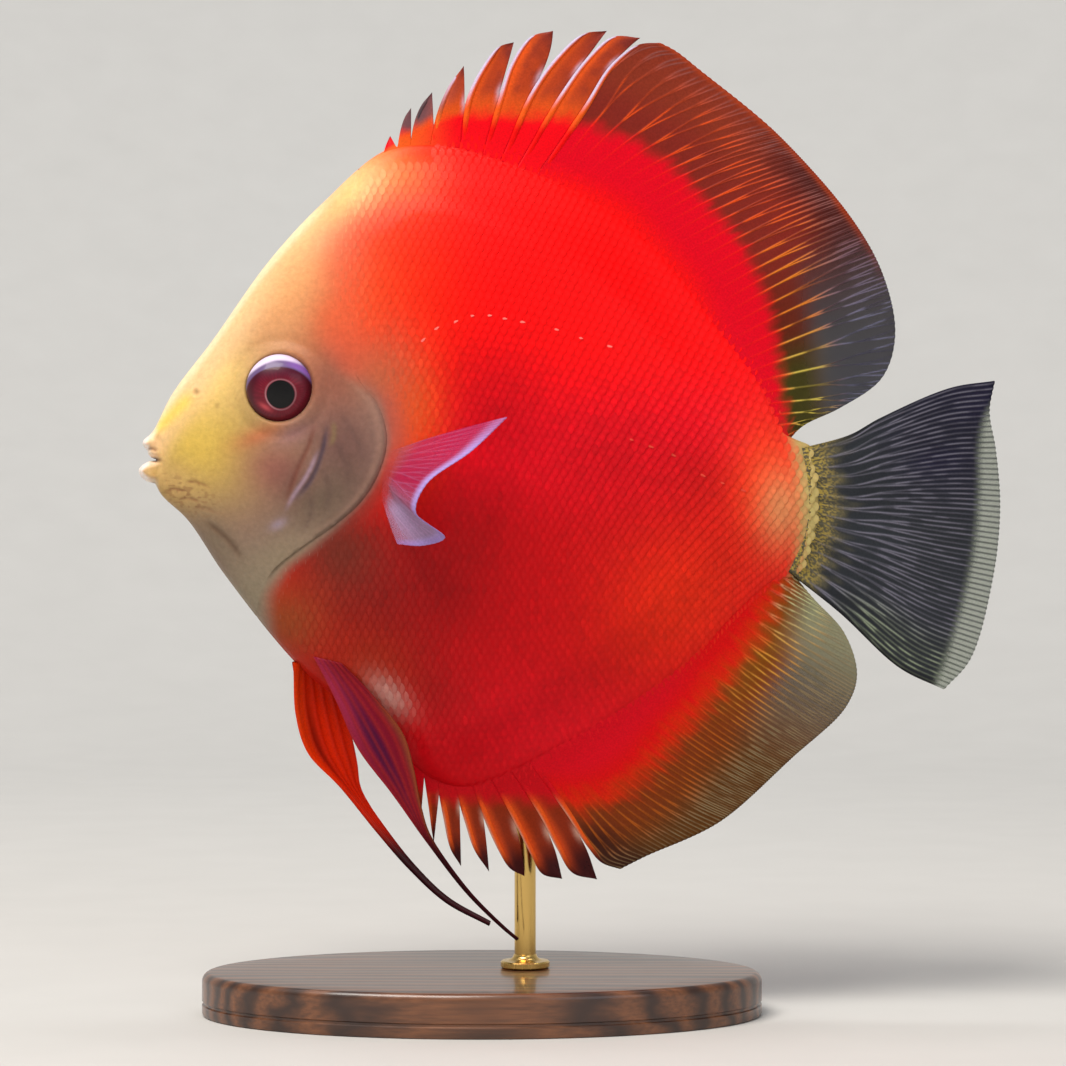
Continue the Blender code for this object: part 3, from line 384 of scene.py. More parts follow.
def markings_and_painted_light(x, z):
    """The colour at a place in the side view, the same on both flanks, for skin and scales: the fish's own colour
    with some painted highlights and painted shade on the head.
    """
    x, z = np.asarray(x, float), np.asarray(z, float)
    throat = ramp(z, -8.0, -20.0)
    off = behind_head(x, z) + 1.6 * (clouds(x, z, 5.0, 3) - 0.5) * (1 - gill_window(z))
    off -= 0.9 * gill_window(z) + 2.8 * throat + 1.8 * ramp(z, 6.0, 20.0) * ramp(z, 44.0, 34.0)
    soft = 1.4 + 8.0 * ramp(z, 8.0, 24.0) + 1.5 * throat
    share = ramp(off, -soft, 0.6 * soft)[..., None]
    colour = head_colour(x, z) * (1 - share) + trunk_colour(x, z) * share
    return washed(colour, "#F0C480", 0.85 * spot(x, z, 40.0, 50.0, 8.0, 4.0, 48))


def new_piece(name, points, faces, look, colours=None, slot=None):
    """A smooth mesh object from points of the fish's frame and arrays of three or four corners."""
    mesh = bpy.data.meshes.new(name)
    mesh.vertices.add(len(points))
    mesh.vertices.foreach_set("co", place(points).astype(np.float32).ravel())
    corners = np.concatenate([part.ravel() for part in faces]).astype(np.int32)
    sizes = np.concatenate([np.full(len(part), part.shape[1]) for part in faces])
    mesh.loops.add(len(corners))
    mesh.loops.foreach_set("vertex_index", corners)
    mesh.polygons.add(len(sizes))
    mesh.polygons.foreach_set("loop_start", np.concatenate([[0], np.cumsum(sizes)[:-1]]).astype(np.int32))
    mesh.update(calc_edges=True)
    mesh.shade_smooth()
    if colours is not None:
        layer = mesh.color_attributes.new("pigment_and_painted_light", "FLOAT_COLOR", "POINT")
        layer.data.foreach_set("color", colours.astype(np.float32).ravel())
    mesh.materials.append(look)
    made = bpy.data.objects.new(name, mesh)
    bpy.context.scene.collection.objects.link(made)
    if slot:
        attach(made, "root")
    return made


def opaque(colours):
    return np.concatenate([colours, np.ones(colours.shape[:-1] + (1,))], axis=-1)


def patch(low, high, front, back):
    """A grid between four edges: low and high run backward, front and back run upward."""
    u = np.linspace(0.0, 1.0, len(low))[:, None, None]
    v = np.linspace(0.0, 1.0, len(front))[None, :, None]
    grid = (1 - v) * low[:, None] + v * high[:, None] + (1 - u) * front[None] + u * back[None]
    grid -= (1 - u) * (1 - v) * front[0] + (1 - u) * v * front[-1]
    grid -= u * (1 - v) * back[0] + u * v * back[-1]
    return grid


def tail_patch(low, high, front, back, out):
    """The tail fin's grid: low and high run backward with their points at out of the way."""
    v = np.linspace(0.0, 1.0, len(front))[:, None, None]
    u = out[None, :, None]
    grid = (1 - v) * low[None] + v * high[None] + (1 - u) * front[:, None] + u * back[:, None]
    grid -= (1 - u) * ((1 - v) * front[0] + v * front[-1]) + u * ((1 - v) * back[0] + v * back[-1])
    return grid


def rim_of(columns, rows):
    """The numbers round the edge of a grid: backward along the foot, up, forward and down."""
    ring = [i * rows for i in range(columns)]
    ring += [(columns - 1) * rows + j for j in range(1, rows)]
    ring += [i * rows + rows - 1 for i in range(columns - 2, -1, -1)]
    ring += list(range(rows - 2, 0, -1))
    return np.array(ring)


def grid_faces(columns, rows):
    a = (np.arange(columns - 1)[:, None] * rows + np.arange(rows - 1)).ravel()
    return np.column_stack([a, a + rows, a + rows + 1, a + 1])


SKIN_ROWS = 260
HEAD_COLUMNS = 150
TRUNK_COLUMNS = 130
up = np.linspace(0, 1, SKIN_ROWS)
up = 0.5 * up + 0.25 * (1 - np.cos(math.pi * up))
edge = smooth(HEAD_EDGE, up)
low = stretch(BOTTOM, BOTTOM[0, 0] + 1e-6, edge[0, 0], np.linspace(0, 1, HEAD_COLUMNS))
high = stretch(TOP, TOP[0, 0] + 1e-6, edge[-1, 0], np.linspace(0, 1, HEAD_COLUMNS))
edge[0], edge[-1] = low[-1], high[-1]
front = smooth(LIP_PROFILE, up)
front[0], front[-1] = low[0], high[0]
head_grid = patch(low, high, front, edge)
steps_in = np.minimum(np.arange(SKIN_ROWS), np.arange(SKIN_ROWS)[::-1])
inset = np.minimum(0.012 * np.arange(HEAD_COLUMNS)[:, None], 0.04 * steps_in).clip(0, 0.25)
outline_x = np.interp(head_grid[..., 1], MUZZLE[:, 1], MUZZLE[:, 0])
head_grid[..., 0] = np.maximum(head_grid[..., 0], outline_x + inset)
back = smooth(TAIL_END, up)
low = stretch(BOTTOM, edge[0, 0], back[0, 0], np.linspace(0, 1, TRUNK_COLUMNS))
high = stretch(TOP, edge[-1, 0], back[-1, 0], np.linspace(0, 1, TRUNK_COLUMNS))
back[0], back[-1] = low[-1], high[-1]
trunk_grid = patch(low, high, edge, back)

free = gill_window(edge[:, 1])
hindward = shifted(edge, -1.0) - edge
fold_grid = np.stack([edge + hindward * (free * rolled + (1 - free) * plain)[:, None]
                      for rolled, plain in ((0.10, 0.02), (0.17, 0.04), (0.15, 0.06), (0.05, 0.08))])
side_view = np.concatenate([head_grid, fold_grid, trunk_grid[1:]])
flat = side_view.reshape(-1, 2)
across = skin_width(flat[:, 0], flat[:, 1]).reshape(side_view.shape[:2]) - SKIN_INSET
brow = across[HEAD_COLUMNS - 1]
for step, share in enumerate((0.85, 0.5, 0.1, -0.4)):
    across[HEAD_COLUMNS + step] = brow - free * GILL_LIFT * (1 - share)
across = across.ravel()
columns = len(side_view)
count = len(flat)
ring = rim_of(columns, SKIN_ROWS)
outline = flat[ring]
along = np.roll(outline, -1, axis=0) - np.roll(outline, 1, axis=0)
along /= np.linalg.norm(along, axis=1)[:, None]
outward = np.column_stack([along[:, 1], -along[:, 0]])
rim_width = across[ring]
points = [np.column_stack([flat[:, 0], side * across, flat[:, 1]]) for side in (-1, 1)]
for share in (-0.5, 0.0, 0.5):
    crest = outline + outward * (0.5 * rim_width * (1 - share**2))[:, None]
    points.append(np.column_stack([crest[:, 0], share * rim_width, crest[:, 1]]))
quads = grid_faces(columns, SKIN_ROWS)
faces = [quads, quads[:, ::-1] + count]
lanes = [ring] + [2 * count + lane * len(ring) + np.arange(len(ring)) for lane in range(3)]
lanes.append(ring + count)
for one, two in zip(lanes, lanes[1:]):
    faces.append(np.column_stack([one, two, np.roll(two, -1), np.roll(one, -1)]))
skin_points = np.vstack(points)


def node(tree, kind, inputs=None, **settings):
    """Adds a shader node. An input is given as a value, or as the output socket that feeds it."""
    made = tree.nodes.new("ShaderNode" + kind)
    for name, value in settings.items():
        setattr(made, name, value)
    for name, value in (inputs or {}).items():
        if isinstance(value, bpy.types.NodeSocket):
            tree.links.new(value, made.inputs[name])
        else:
            made.inputs[name].default_value = value
    return made


def new_material(name):
    """A material with its tree, its Principled shader and the place of each point in metres."""
    made = bpy.data.materials.new(name)
    made.use_nodes = True
    tree = made.node_tree
    shader = tree.nodes["Principled BSDF"]
    where = node(tree, "TexCoord").outputs["Object"]
    return made, tree, shader, where


def wet_hide(name, grain, strength, roughness):
    """Living fish skin under a film of slime: soft light comes back out of it, and it glistens.

    Pigment cells give it a mottle of about half a millimetre.
    """
    made, tree, shader, where = new_material(name)
    pigment_and_painted_light = node(tree, "Attribute", attribute_name="pigment_and_painted_light").outputs["Color"]
    mottle = node(tree, "TexNoise", {"Vector": where, "Scale": 1 / (0.9 * MM), "Detail": 4.0})
    fine = node(tree, "TexNoise", {"Vector": where, "Scale": 1 / (0.28 * MM), "Detail": 2.0})
    shade = node(tree, "MapRange", {"Value": mottle.outputs["Fac"], "From Min": 0.3, "From Max": 0.7,
                                    "To Min": 0.9, "To Max": 1.06}).outputs["Result"]
    tint = node(tree, "VectorMath", {0: pigment_and_painted_light, "Scale": shade}, operation="SCALE")
    tree.links.new(tint.outputs["Vector"], shader.inputs["Base Color"])
    rough = node(tree, "MapRange", {"Value": fine.outputs["Fac"], "To Min": roughness - 0.08,
                                    "To Max": roughness + 0.1}).outputs["Result"]
    tree.links.new(rough, shader.inputs["Roughness"])
    pores = node(tree, "TexNoise", {"Vector": where, "Scale": 1 / (grain * MM), "Detail": 3.0})
    bump = node(tree, "Bump", {"Height": pores.outputs["Fac"], "Strength": strength,
                               "Distance": 0.0002})
    tree.links.new(bump.outputs["Normal"], shader.inputs["Normal"])
    shader.inputs["IOR"].default_value = 1.4
    shader.inputs["Subsurface Weight"].default_value = 0.12
    shader.inputs["Subsurface Radius"].default_value = (1.0, 0.35, 0.2)
    shader.inputs["Subsurface Scale"].default_value = 0.0012
    shader.inputs["Specular IOR Level"].default_value = 0.12
    shader.inputs["Coat Weight"].default_value = 0.06
    shader.inputs["Coat Roughness"].default_value = 0.18
    shader.inputs["Coat IOR"].default_value = 1.35
    return made


wet_skin = wet_hide("wet skin", 0.6, 0.35, 0.42)
skin = new_piece("skin", skin_points, faces, wet_skin,
                 opaque(markings_and_painted_light(skin_points[:, 0], skin_points[:, 2])), "skin")
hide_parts("head", "gill_cover_left", "gill_cover_right", "torso", "tail_stalk",
            "upper_lip", "lower_lip")

# The eyes: a ball that bulges a little from its socket and looks slightly down.
# A black pupil in a fine pale ring, a wine-red iris with darker rim and a small painted glint low in front,
# and above it the violet-white top of the ball with a painted reflection of the lamps on it, over a band
# of painted shade. The clear film over it is as glossy as glass.
EYE_RADIUS = 6.3
EYE_APEX = 12.5
EYE_SILL = 9.3
GAZE_DROP = 1.2
GAZE_BACK = 0.28
PUPIL_RADIUS = 2.55
made, tree, shader, where = new_material("wet eyeball")
eyeball = made
tree.links.new(node(tree, "Attribute", attribute_name="pigment_and_painted_light").outputs["Color"],
               shader.inputs["Base Color"])
shader.inputs["Roughness"].default_value = 0.35
shader.inputs["Specular IOR Level"].default_value = 0.2
shader.inputs["Coat Weight"].default_value = 0.3
shader.inputs["Coat Roughness"].default_value = 0.05
shader.inputs["Coat IOR"].default_value = 1.34


def eye_colour(u, w):
    """The ball's colour at a place u back and w up from its middle."""
    down = w + GAZE_DROP
    away = np.hypot(u - GAZE_BACK, down)
    turn = np.arctan2(down, u - GAZE_BACK)
    fibres = 0.5 + 0.5 * np.sin(46 * turn + 3 * np.sin(5 * turn) + 1.5 * away)
    fibres *= clouds(30 * (turn + 4) / 6.3, 2 * away, 1.0, 21)
    colour = np.zeros(u.shape + (3,)) + linear("#5A0A1E")
    colour = washed(colour, "#7C0C20", ramp(away, 4.6, 3.0) * (0.3 + 0.4 * fibres))
    colour = washed(colour, "#8A1A34", 0.35 * fibres)
    colour = washed(colour, "#3C0818", 0.8 * ramp(away, 4.4, 5.6))
    colour = washed(colour, "#42102A", 0.7 * ramp(w, 0.5, 3.4))
    # A painted glint: a small reddish highlight low on the front of the iris.
    colour = washed(colour, "#CC5058", 0.75 * spot(u, w, -2.6, -3.5, 1.2, 0.45, -32))
    # Above the iris: a violet-grey band of painted shade, then the violet-white top of the ball with a painted
    # reflection of the lamps on it, violet and weaker toward the back.
    lid = np.hypot(u / 6.35, down / 5.05)
    colour = washed(colour, "#66527C", ramp(lid, 0.96, 1.03))
    colour = washed(colour, "#8A5CB4", 0.8 * ramp(lid, 0.99, 1.08) * ramp(u, 0.0, 3.5))
    pale_top_and_reflection = lid - 0.1 * ramp(u, -5.0, 0.0)
    colour = washed(colour, "#DCCCE8", ramp(pale_top_and_reflection, 1.08, 1.2) * (1 - 0.45 * ramp(u, 2.0, 5.0)))
    ring = PUPIL_RADIUS + 0.2 + 0.05 * np.sin(3 * turn)
    bright = 0.45 + 0.4 * spot(u, w, -2.2, -3.0, 2.0, 2.0)
    colour = washed(colour, "#B08088", bright * np.exp(-(((away - ring) / 0.14) ** 2)))
    return washed(colour, "#020204", ramp(away, PUPIL_RADIUS + 0.08, PUPIL_RADIUS - 0.04))


rings, around = 96, 144
radius = EYE_RADIUS * np.linspace(0, 1, rings)
turn = np.linspace(0, 2 * math.pi, around, endpoint=False)
dome = EYE_SILL + (EYE_APEX - EYE_SILL) * (1 - np.linspace(0, 1, rings) ** 2.4) ** 0.62
u = (radius[1:, None] * np.cos(turn)).ravel()
w = (radius[1:, None] * np.sin(turn)).ravel()
u, w = np.append(u, (0, 0)), np.append(w, (0, 0))
height = np.append(np.repeat(dome[1:], around), (EYE_APEX, EYE_SILL - 1.5))
quads = []
for ring_number in range(rings - 2):
    one = ring_number * around + np.arange(around)
    after = ring_number * around + (np.arange(around) + 1) % around
    quads.append(np.column_stack([one, one + around, after + around, after]))
quads = np.concatenate(quads)
inner, outer = np.arange(around), (rings - 2) * around + np.arange(around)
apex, foot = len(u) - 2, len(u) - 1
tips = np.vstack([np.column_stack([inner, np.roll(inner, -1), np.full(around, apex)]),
                  np.column_stack([np.roll(outer, -1), outer, np.full(around, foot)])])
for side, flank in ((-1, "left"), (1, "right")):
    points = np.column_stack([EYE_X + u, side * height, EYE_Z + w])
    faces = [quads, tips] if side < 0 else [quads[:, ::-1], tips[:, ::-1]]
    ball = new_piece("eyeball_" + flank, points, faces, eyeball, opaque(eye_colour(u, w)), "eyes")
    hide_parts("eye_" + flank)

# The dorsal and anal fins: a fleshy scarlet sheath, then skin as thin as film between the rays.
# Stiff spines carry a loose lappet behind each tip in front, and soft rays that fork twice
# follow behind. Past the sheath the film lets a little light through.
DORSAL_SPINES = [[(45.4, 55.8), (46.1, 58.4), (46.9, 60.3)],
                 [(48.2, 57.3), (48.9, 61.4), (49.7, 63.8), (50.8, 65.5)],
                 [(50.6, 57.7), (51.5, 62.9), (52.8, 66.0), (54.7, 68.4)],
                 [(54.3, 58.0), (55.8, 64.7), (57.8, 69.4), (60.6, 73.3)],
                 [(59.9, 57.6), (61.2, 67.0), (64.0, 72.9), (67.1, 76.8), (69.9, 77.7)],
                 [(64.0, 56.3), (67.3, 67.7), (69.6, 74.0), (73.1, 78.7), (77.2, 79.8)],
                 [(67.3, 55.2), (73.1, 68.3), (77.6, 74.6), (82.8, 79.2), (87.2, 79.8)],
                 [(70.1, 53.6), (78.5, 67.9), (83.9, 75.1), (88.4, 78.7), (93.4, 78.5)],
                 [(73.8, 52.4), (83.0, 65.8), (88.0, 73.5), (93.0, 77.2), (97.1, 77.6)]]
DORSAL_EDGE = [(97.1, 77.6), (100.0, 76.1), (104.5, 72.6), (119.4, 60.3), (132.4, 45.4),
               (138.6, 34.2), (140.8, 23.2), (138.4, 15.3), (130.6, 9.7), (124.4, 6.9), (121.2, 4.9)]
DORSAL_SPREAD = [(0.0, 0.0), (0.18, 0.26), (0.64, 0.54), (0.78, 0.67), (1.0, 1.0)]
DORSAL_SHEATH = [(44.0, 58.5), (54.3, 62.3), (62.0, 64.2), (72.0, 64.0), (80.0, 63.4), (85.9, 61.9),
                 (98.3, 55.6), (106.2, 47.2), (112.8, 39.6), (116.8, 30.4), (118.8, 20.5), (120.8, 4.0)]
ANAL_SPINES = [[(50.6, -56.0), (51.5, -62.4), (52.6, -66.8)],
               [(53.2, -57.9), (54.2, -65.0), (55.0, -71.4)],
               [(55.6, -59.2), (56.8, -66.0), (58.2, -72.3), (60.1, -75.6)],
               [(58.8, -59.9), (60.8, -67.0), (62.6, -72.4), (65.3, -76.6)],
               [(62.0, -60.0), (65.0, -68.0), (67.3, -72.9), (69.3, -76.0), (71.9, -77.4)],
               [(65.5, -59.0), (70.4, -68.0), (73.2, -73.5), (75.3, -77.0), (78.9, -77.9)],
               [(69.0, -57.2), (74.7, -66.0), (78.0, -72.2), (80.9, -76.8), (85.4, -78.0)],
               [(72.5, -55.6), (79.8, -66.0), (83.7, -71.9), (86.3, -74.9), (89.7, -76.1)]]
ANAL_EDGE = [(89.7, -76.1), (94.3, -73.8), (108.3, -67.3), (122.0, -55.1), (131.7, -45.8),
             (133.7, -39.8), (131.4, -32.2), (126.4, -26.6), (122.6, -23.0)]
ANAL_SPREAD = [(0.0, 0.0), (0.2, 0.27), (0.64, 0.58), (0.8, 0.73), (1.0, 1.0)]
ANAL_SHEATH = [(50.5, -60.5), (56.0, -62.8), (72.7, -63.2), (84.4, -62.9), (92.3, -58.6),
               (98.2, -52.1), (104.2, -45.6), (110.8, -36.8), (115.2, -30.2), (118.8, -21.5)]
SPINE_HALF = 0.72
FIN_ROOT_DEPTH = 1.0
LAPPET_HUG = 0.8
FILM = 0.11
SHEATHS = {"dorsal": smooth(DORSAL_SHEATH, EVEN[::8]), "anal": smooth(ANAL_SHEATH, EVEN[::8])}
BODY_EDGES = {"dorsal": TOP[::8], "anal": BOTTOM[::8]}


def closed_sheet(middle, half, upright=False):
    """Points and faces of a thin closed sheet over a grid of middle points.

    An upright sheet has its thickness straight across the fish, even where its edges meet in a tip.
    """
    columns, rows = middle.shape[:2]
    normal = np.cross(np.gradient(middle, axis=1), np.gradient(middle, axis=0))
    normal /= np.linalg.norm(normal, axis=2)[..., None] + 1e-12
    if upright:
        normal = np.broadcast_to((0.0, np.sign(normal[..., 1].sum()), 0.0), middle.shape)
    offset = normal * half[..., None]
    points = np.vstack([(middle + offset).reshape(-1, 3), (middle - offset).reshape(-1, 3)])
    quads, ring, count = grid_faces(columns, rows), rim_of(columns, rows), columns * rows
    rim = np.column_stack([ring, ring + count, np.roll(ring, -1) + count, np.roll(ring, -1)])
    return points, [quads[:, ::-1], quads + count, rim[:, ::-1]]


def joined(shells):
    """Several shells, each of points, faces and colours, as one."""
    points, colours, faces, first = [], [], [], 0
    for shell_points, shell_faces, shell_colours in shells:
        points.append(shell_points)
        colours.append(shell_colours)
        faces += [part + first for part in shell_faces]
        first += len(shell_points)
    return np.vstack(points), faces, np.vstack(colours)


def bowed(root, tip, bow, t):
    """Places at t of the way along rays that leave their roots more steeply than they end."""
    along = tip - root
    bend = (root + tip) / 2 + bow[:, None] * np.stack([-along[:, 1], along[:, 0]], axis=1)
    root, bend, tip, t = root[:, None], bend[:, None], tip[:, None], t[..., None]
    return (1 - t) ** 2 * root + 2 * t * (1 - t) * bend + t**2 * tip


def ray_ridge(s, t, spacing, first_fork, second_fork, half=0.13):
    """How high a soft ray or one of its branches stands at s rays across and t of the way out."""
    off = s - np.round(s)
    one = 0.25 * ramp(t, first_fork, first_fork + 0.4)
    two = 0.125 * ramp(t, second_fork, second_fork + 0.35)
    width = np.clip(half * (1.4 - 0.5 * t) / spacing, 0.028, 0.4)
    ridge = np.zeros(np.shape(s))
    for outer in (-1, 1):
        for inner in (-1, 1):
            ridge = np.maximum(ridge, np.exp(-(((off - outer * one - inner * two) / width) ** 2)))
    return ridge


def fin_film(name, roughness, through):
    """Fin membrane: a double film of wet skin stretched over bony rays, smooth, with light in it."""
    made, tree, shader, where = new_material(name)
    pigment_and_painted_light = node(tree, "Attribute", attribute_name="pigment_and_painted_light")
    fine = node(tree, "TexNoise", {"Vector": where, "Scale": 1 / (0.35 * MM), "Detail": 3.0})
    shade = node(tree, "MapRange", {"Value": fine.outputs["Fac"], "From Min": 0.3, "From Max": 0.7,
                                    "To Min": 0.88, "To Max": 1.1}).outputs["Result"]
    tint = node(tree, "VectorMath", {0: pigment_and_painted_light.outputs["Color"], "Scale": shade}, operation="SCALE")
    tree.links.new(tint.outputs["Vector"], shader.inputs["Base Color"])
    tree.links.new(pigment_and_painted_light.outputs["Alpha"], shader.inputs["Alpha"])
    bump = node(tree, "Bump", {"Height": fine.outputs["Fac"], "Strength": 0.15, "Distance": 0.0001})
    tree.links.new(bump.outputs["Normal"], shader.inputs["Normal"])
    shader.inputs["Roughness"].default_value = roughness
    shader.inputs["IOR"].default_value = 1.4
    shader.inputs["Specular IOR Level"].default_value = 0.12
    glow = node(tree, "BsdfTranslucent", {"Color": tint.outputs["Vector"]})
    clear = node(tree, "BsdfTransparent")
    seen = node(tree, "MixShader", {0: pigment_and_painted_light.outputs["Alpha"], 1: clear.outputs[0],
                                    2: glow.outputs[0]})
    both = node(tree, "MixShader", {0: through, 1: shader.outputs[0], 2: seen.outputs[0]})
    tree.links.new(both.outputs[0], tree.nodes["Material Output"].inputs["Surface"])
    return made


def past_sheath(x, z, name):
    """How far out past the border of the fleshy sheath a place lies."""
    return off_curve(SHEATHS[name], x, z) * (1 if name == "dorsal" else -1)


def sheath_half(x, z, name):
    """Half the fin's thickness: flesh at the foot, thinning to film past the sheath."""
    inside = np.clip(-past_sheath(x, z, name), 0, None)
    foot = np.clip(off_curve(BODY_EDGES[name], x, z) * (1 if name == "dorsal" else -1), 0, None)
    flesh = 0.42 * np.clip(inside / 12.0, 0, 1) ** 0.7
    return FILM + np.maximum(flesh, (FIN_RIM - SKIN_INSET - FILM) * np.exp(-((foot / 4.0) ** 1.1)))


def spine_shaft(line, turn, colour_of):
    """A stiff spine along a curve: a tapering rod that ends short of its lappet's tip."""
    line = line[:int(0.92 * len(line))]
    steps, around = len(line), 14
    t = np.linspace(0, 1, steps)
    along = np.gradient(line, axis=0)
    along /= np.linalg.norm(along, axis=1)[:, None]
    fore = turn * np.stack([-along[:, 1], along[:, 0]], axis=1)
    length = np.linalg.norm(np.diff(line, axis=0), axis=1).sum()
    half = SPINE_HALF * (1 - 0.5 * t) * np.clip((1 - t) / 0.12, 0.05, 1) ** 0.6 * min(1.0, length / 13)
    angle = np.linspace(0, 2 * math.pi, around, endpoint=False)
    ahead = half[:, None] * (np.cos(angle) - 0.8)
    aside = 0.8 * half[:, None] * np.sin(angle)
    points = np.stack([line[:, None, 0] + fore[:, None, 0] * ahead, aside,
                       line[:, None, 1] + fore[:, None, 1] * ahead], axis=-1)
    colours = colour_of(points[..., 0], points[..., 2], np.broadcast_to(t[:, None], ahead.shape),
                        np.broadcast_to(np.cos(angle), ahead.shape))
    one = (np.arange(steps - 1)[:, None] * around + np.arange(around)).ravel()
    after = (np.arange(steps - 1)[:, None] * around + (np.arange(around) + 1) % around).ravel()
    quads = np.column_stack([one, after, after + around, one + around])
    caps = [np.arange(around)[None, ::-1], ((steps - 1) * around + np.arange(around))[None]]
    faces = [quads] + caps
    if turn > 0:
        faces = [part[:, ::-1] for part in faces]
    return points.reshape(-1, 3), faces, colours.reshape(-1, 4)


def median_fin(name, base, spines, fin_edge, spread, rays, turn, look, colours_of, notch_step, forks):
    """A fin in the middle plane: spines with lappets in front, a sheet of soft rays behind."""
    kind = name.split("_")[0]
    soft_colour, shaft_colour, lappet_colour = colours_of
    shells = []
    t = np.linspace(0, 1, 44)
    lines = [smooth(points, t) for points in spines]
    f = np.linspace(0, 1, 15)[:, None, None]
    for number, line in enumerate(lines):
        shells.append(spine_shaft(line, turn, shaft_colour))
        if number == len(lines) - 1:
            break
        after = smooth(spines[number + 1], EVEN)
        notch = notch_step * (number + 1)
        beside = np.stack([np.interp(t, EVEN, column) for column in after.T], axis=1)
        corner = beside[np.searchsorted(t, notch)] * 0.94 + line[np.searchsorted(t, notch)] * 0.06
        climb = np.clip((t - notch) / (1 - notch), 0, 1)[:, None]
        free = corner + (line[-1] - corner) * climb
        nearest = np.argmin(np.linalg.norm(beside - line[-1], axis=1)) / (len(t) - 1)
        hugged = np.interp(notch + (nearest - notch) * climb[:, 0], t, np.arange(len(t)))
        hugged = np.stack([np.interp(hugged, np.arange(len(t)), column) for column in beside.T], axis=1)
        hugged = hugged + (line[-1] - hugged[-1]) * climb**2.5
        free = free + (hugged - free) * LAPPET_HUG * ramp(number, 2.0, 7.0)
        hind = np.where(t[:, None] < notch, beside, free)
        flat = line[None] * (1 - f) + hind[None] * f
        share = f[..., 0] + 0 * t[None]
        out = t[None] + 0 * share
        puff = 0.2 * np.sin(math.pi * share) * out * (-1) ** number
        middle = np.stack([flat[..., 0], puff, flat[..., 1]], axis=-1)
        thin = np.minimum(sheath_half(flat[..., 0], flat[..., 1], kind), FILM + 0.9 * (1 - out))
        points, faces = closed_sheet(middle, thin, True)
        off_notch = np.linalg.norm(flat - corner, axis=2)
        colours = lappet_colour(flat[..., 0], flat[..., 1], out, share, off_notch)
        shells.append((points, faces, np.vstack([colours.reshape(-1, 4)] * 2)))

    per_ray, rows = 24, 60
    s = np.linspace(0, rays, rays * per_ray + 1)
    share = s / rays
    soft_roots = stretch(base, spines[-1][0][0], base[-1, 0], share)
    table = np.array(spread)
    soft_tips = smooth(fin_edge, np.interp(share, table[:, 0], table[:, 1]))
    fringe = 0.006 * (1 - ray_ridge(s, 1.0, 3.0, 0.3, 0.5, 0.5))
    t = np.linspace(0, 1, rows)[None] * (1 - fringe)[:, None]
    flat = bowed(soft_roots, soft_tips, turn * 0.13 * (1 - share), t)
    front = np.stack([np.interp(t[0], EVEN, column) for column in smooth(spines[-1], EVEN).T], axis=1)
    flat = flat + (front - flat[0])[None] * (1 - ramp(s, 0, 3.0))[:, None, None]
    spacing = np.linalg.norm(np.gradient(flat, axis=0), axis=2) * per_ray
    s = np.broadcast_to(s[:, None], t.shape)
    ridge = ray_ridge(s, t, spacing, *forks)
    wave = 0.9 * np.sin(2.2 * share * math.pi)[:, None] * t**2 * ramp(share, 0.1, 0.5)[:, None]
    middle = np.stack([flat[..., 0], wave, flat[..., 1]], axis=-1)
    bare = ramp(past_sheath(flat[..., 0], flat[..., 1], kind), -3.0, 3.0)
    half = sheath_half(flat[..., 0], flat[..., 1], kind) + (0.02 + 0.13 * bare) * ridge * (1 - 0.5 * t)
    half *= 1 - 0.4 * ramp(t, 0.97, 1.0)
    points, faces = closed_sheet(middle, half)
    colours = soft_colour(flat[..., 0], flat[..., 1], share[:, None] + 0 * t, t, ridge)
    shells.append((points, faces, np.vstack([colours.reshape(-1, 4)] * 2)))
    points, faces, colours = joined(shells)
    return new_piece(name, points, faces, look, colours, "median_fins")


def with_alpha(colour, alpha):
    return np.concatenate([colour, np.clip(alpha, 0, 1)[..., None] + 0 * colour[..., :1]], axis=-1)


def dorsal_colour(x, z, share, t, ridge):
    past = past_sheath(x, z, "dorsal")
    grain = clouds(90 * share, 14 * t, 1.0, 41)
    ragged = past + 1.6 * (grain - 0.5) - 1.0 * ridge
    rear = ramp(share, 0.5, 0.8)
    film = np.zeros(x.shape + (3,)) + linear("#86281E")
    film = washed(film, "#8C3420", ramp(past, 3, 12) * (1 - ramp(share, 0.15, 0.5)))
    film = washed(film, "#4E1A16", ramp(past, 8, 17) * ramp(share, 0.12, 0.4))
    film = washed(film, "#5C2412", rear)
    film = washed(film, "#2A262E", rear * ramp(past, 4, 10))
    film = washed(film, "#403C14", ramp(share, 0.74, 0.84) * (1 - ramp(past, 4, 11)))
    film = washed(film, "#232636", ramp(share, 0.78, 0.95) * ramp(past, 5, 12))
    rays = np.zeros(x.shape + (3,)) + linear("#F0561A")
    rays = washed(rays, "#EC8824", ramp(share, 0.4, 0.65))
    rays = washed(rays, "#8A5450", ramp(past, 9, 17))
    rays = washed(rays, "#E0CC5C", ramp(share, 0.72, 0.84) * (1 - ramp(past, 6, 13)))
    rays = washed(rays, "#74748E", rear * ramp(past, 6, 13))
    glints = 0.25 + 0.75 * ramp(clouds(60 * share, 9 * t, 1.0, 42), 0.35, 0.65)
    colour = film + (rays - film) * (ridge * glints)[..., None]
    colour = washed(colour, "#B04018", 0.7 * ramp(t, 0.955, 0.99) * (1 - ramp(share, 0.5, 0.75)))
    colour = washed(colour, "#E20420", 1 - ramp(ragged, -2.0, 2.0))
    colour = washed(colour, "#F4200C", 0.55 * ridge * ramp(past, -9.0, 0.0) * (1 - ramp(past, 0.0, 3.0)))
    colour = washed(colour, "#F20A0C", ramp(-past, 7.0, 14.0))
    alpha = 1 - (0.06 + 0.2 * rear * ramp(past, 3, 9)) * ramp(ragged, 0, 3) * (1 - 0.6 * ridge)
    return with_alpha(colour, alpha)


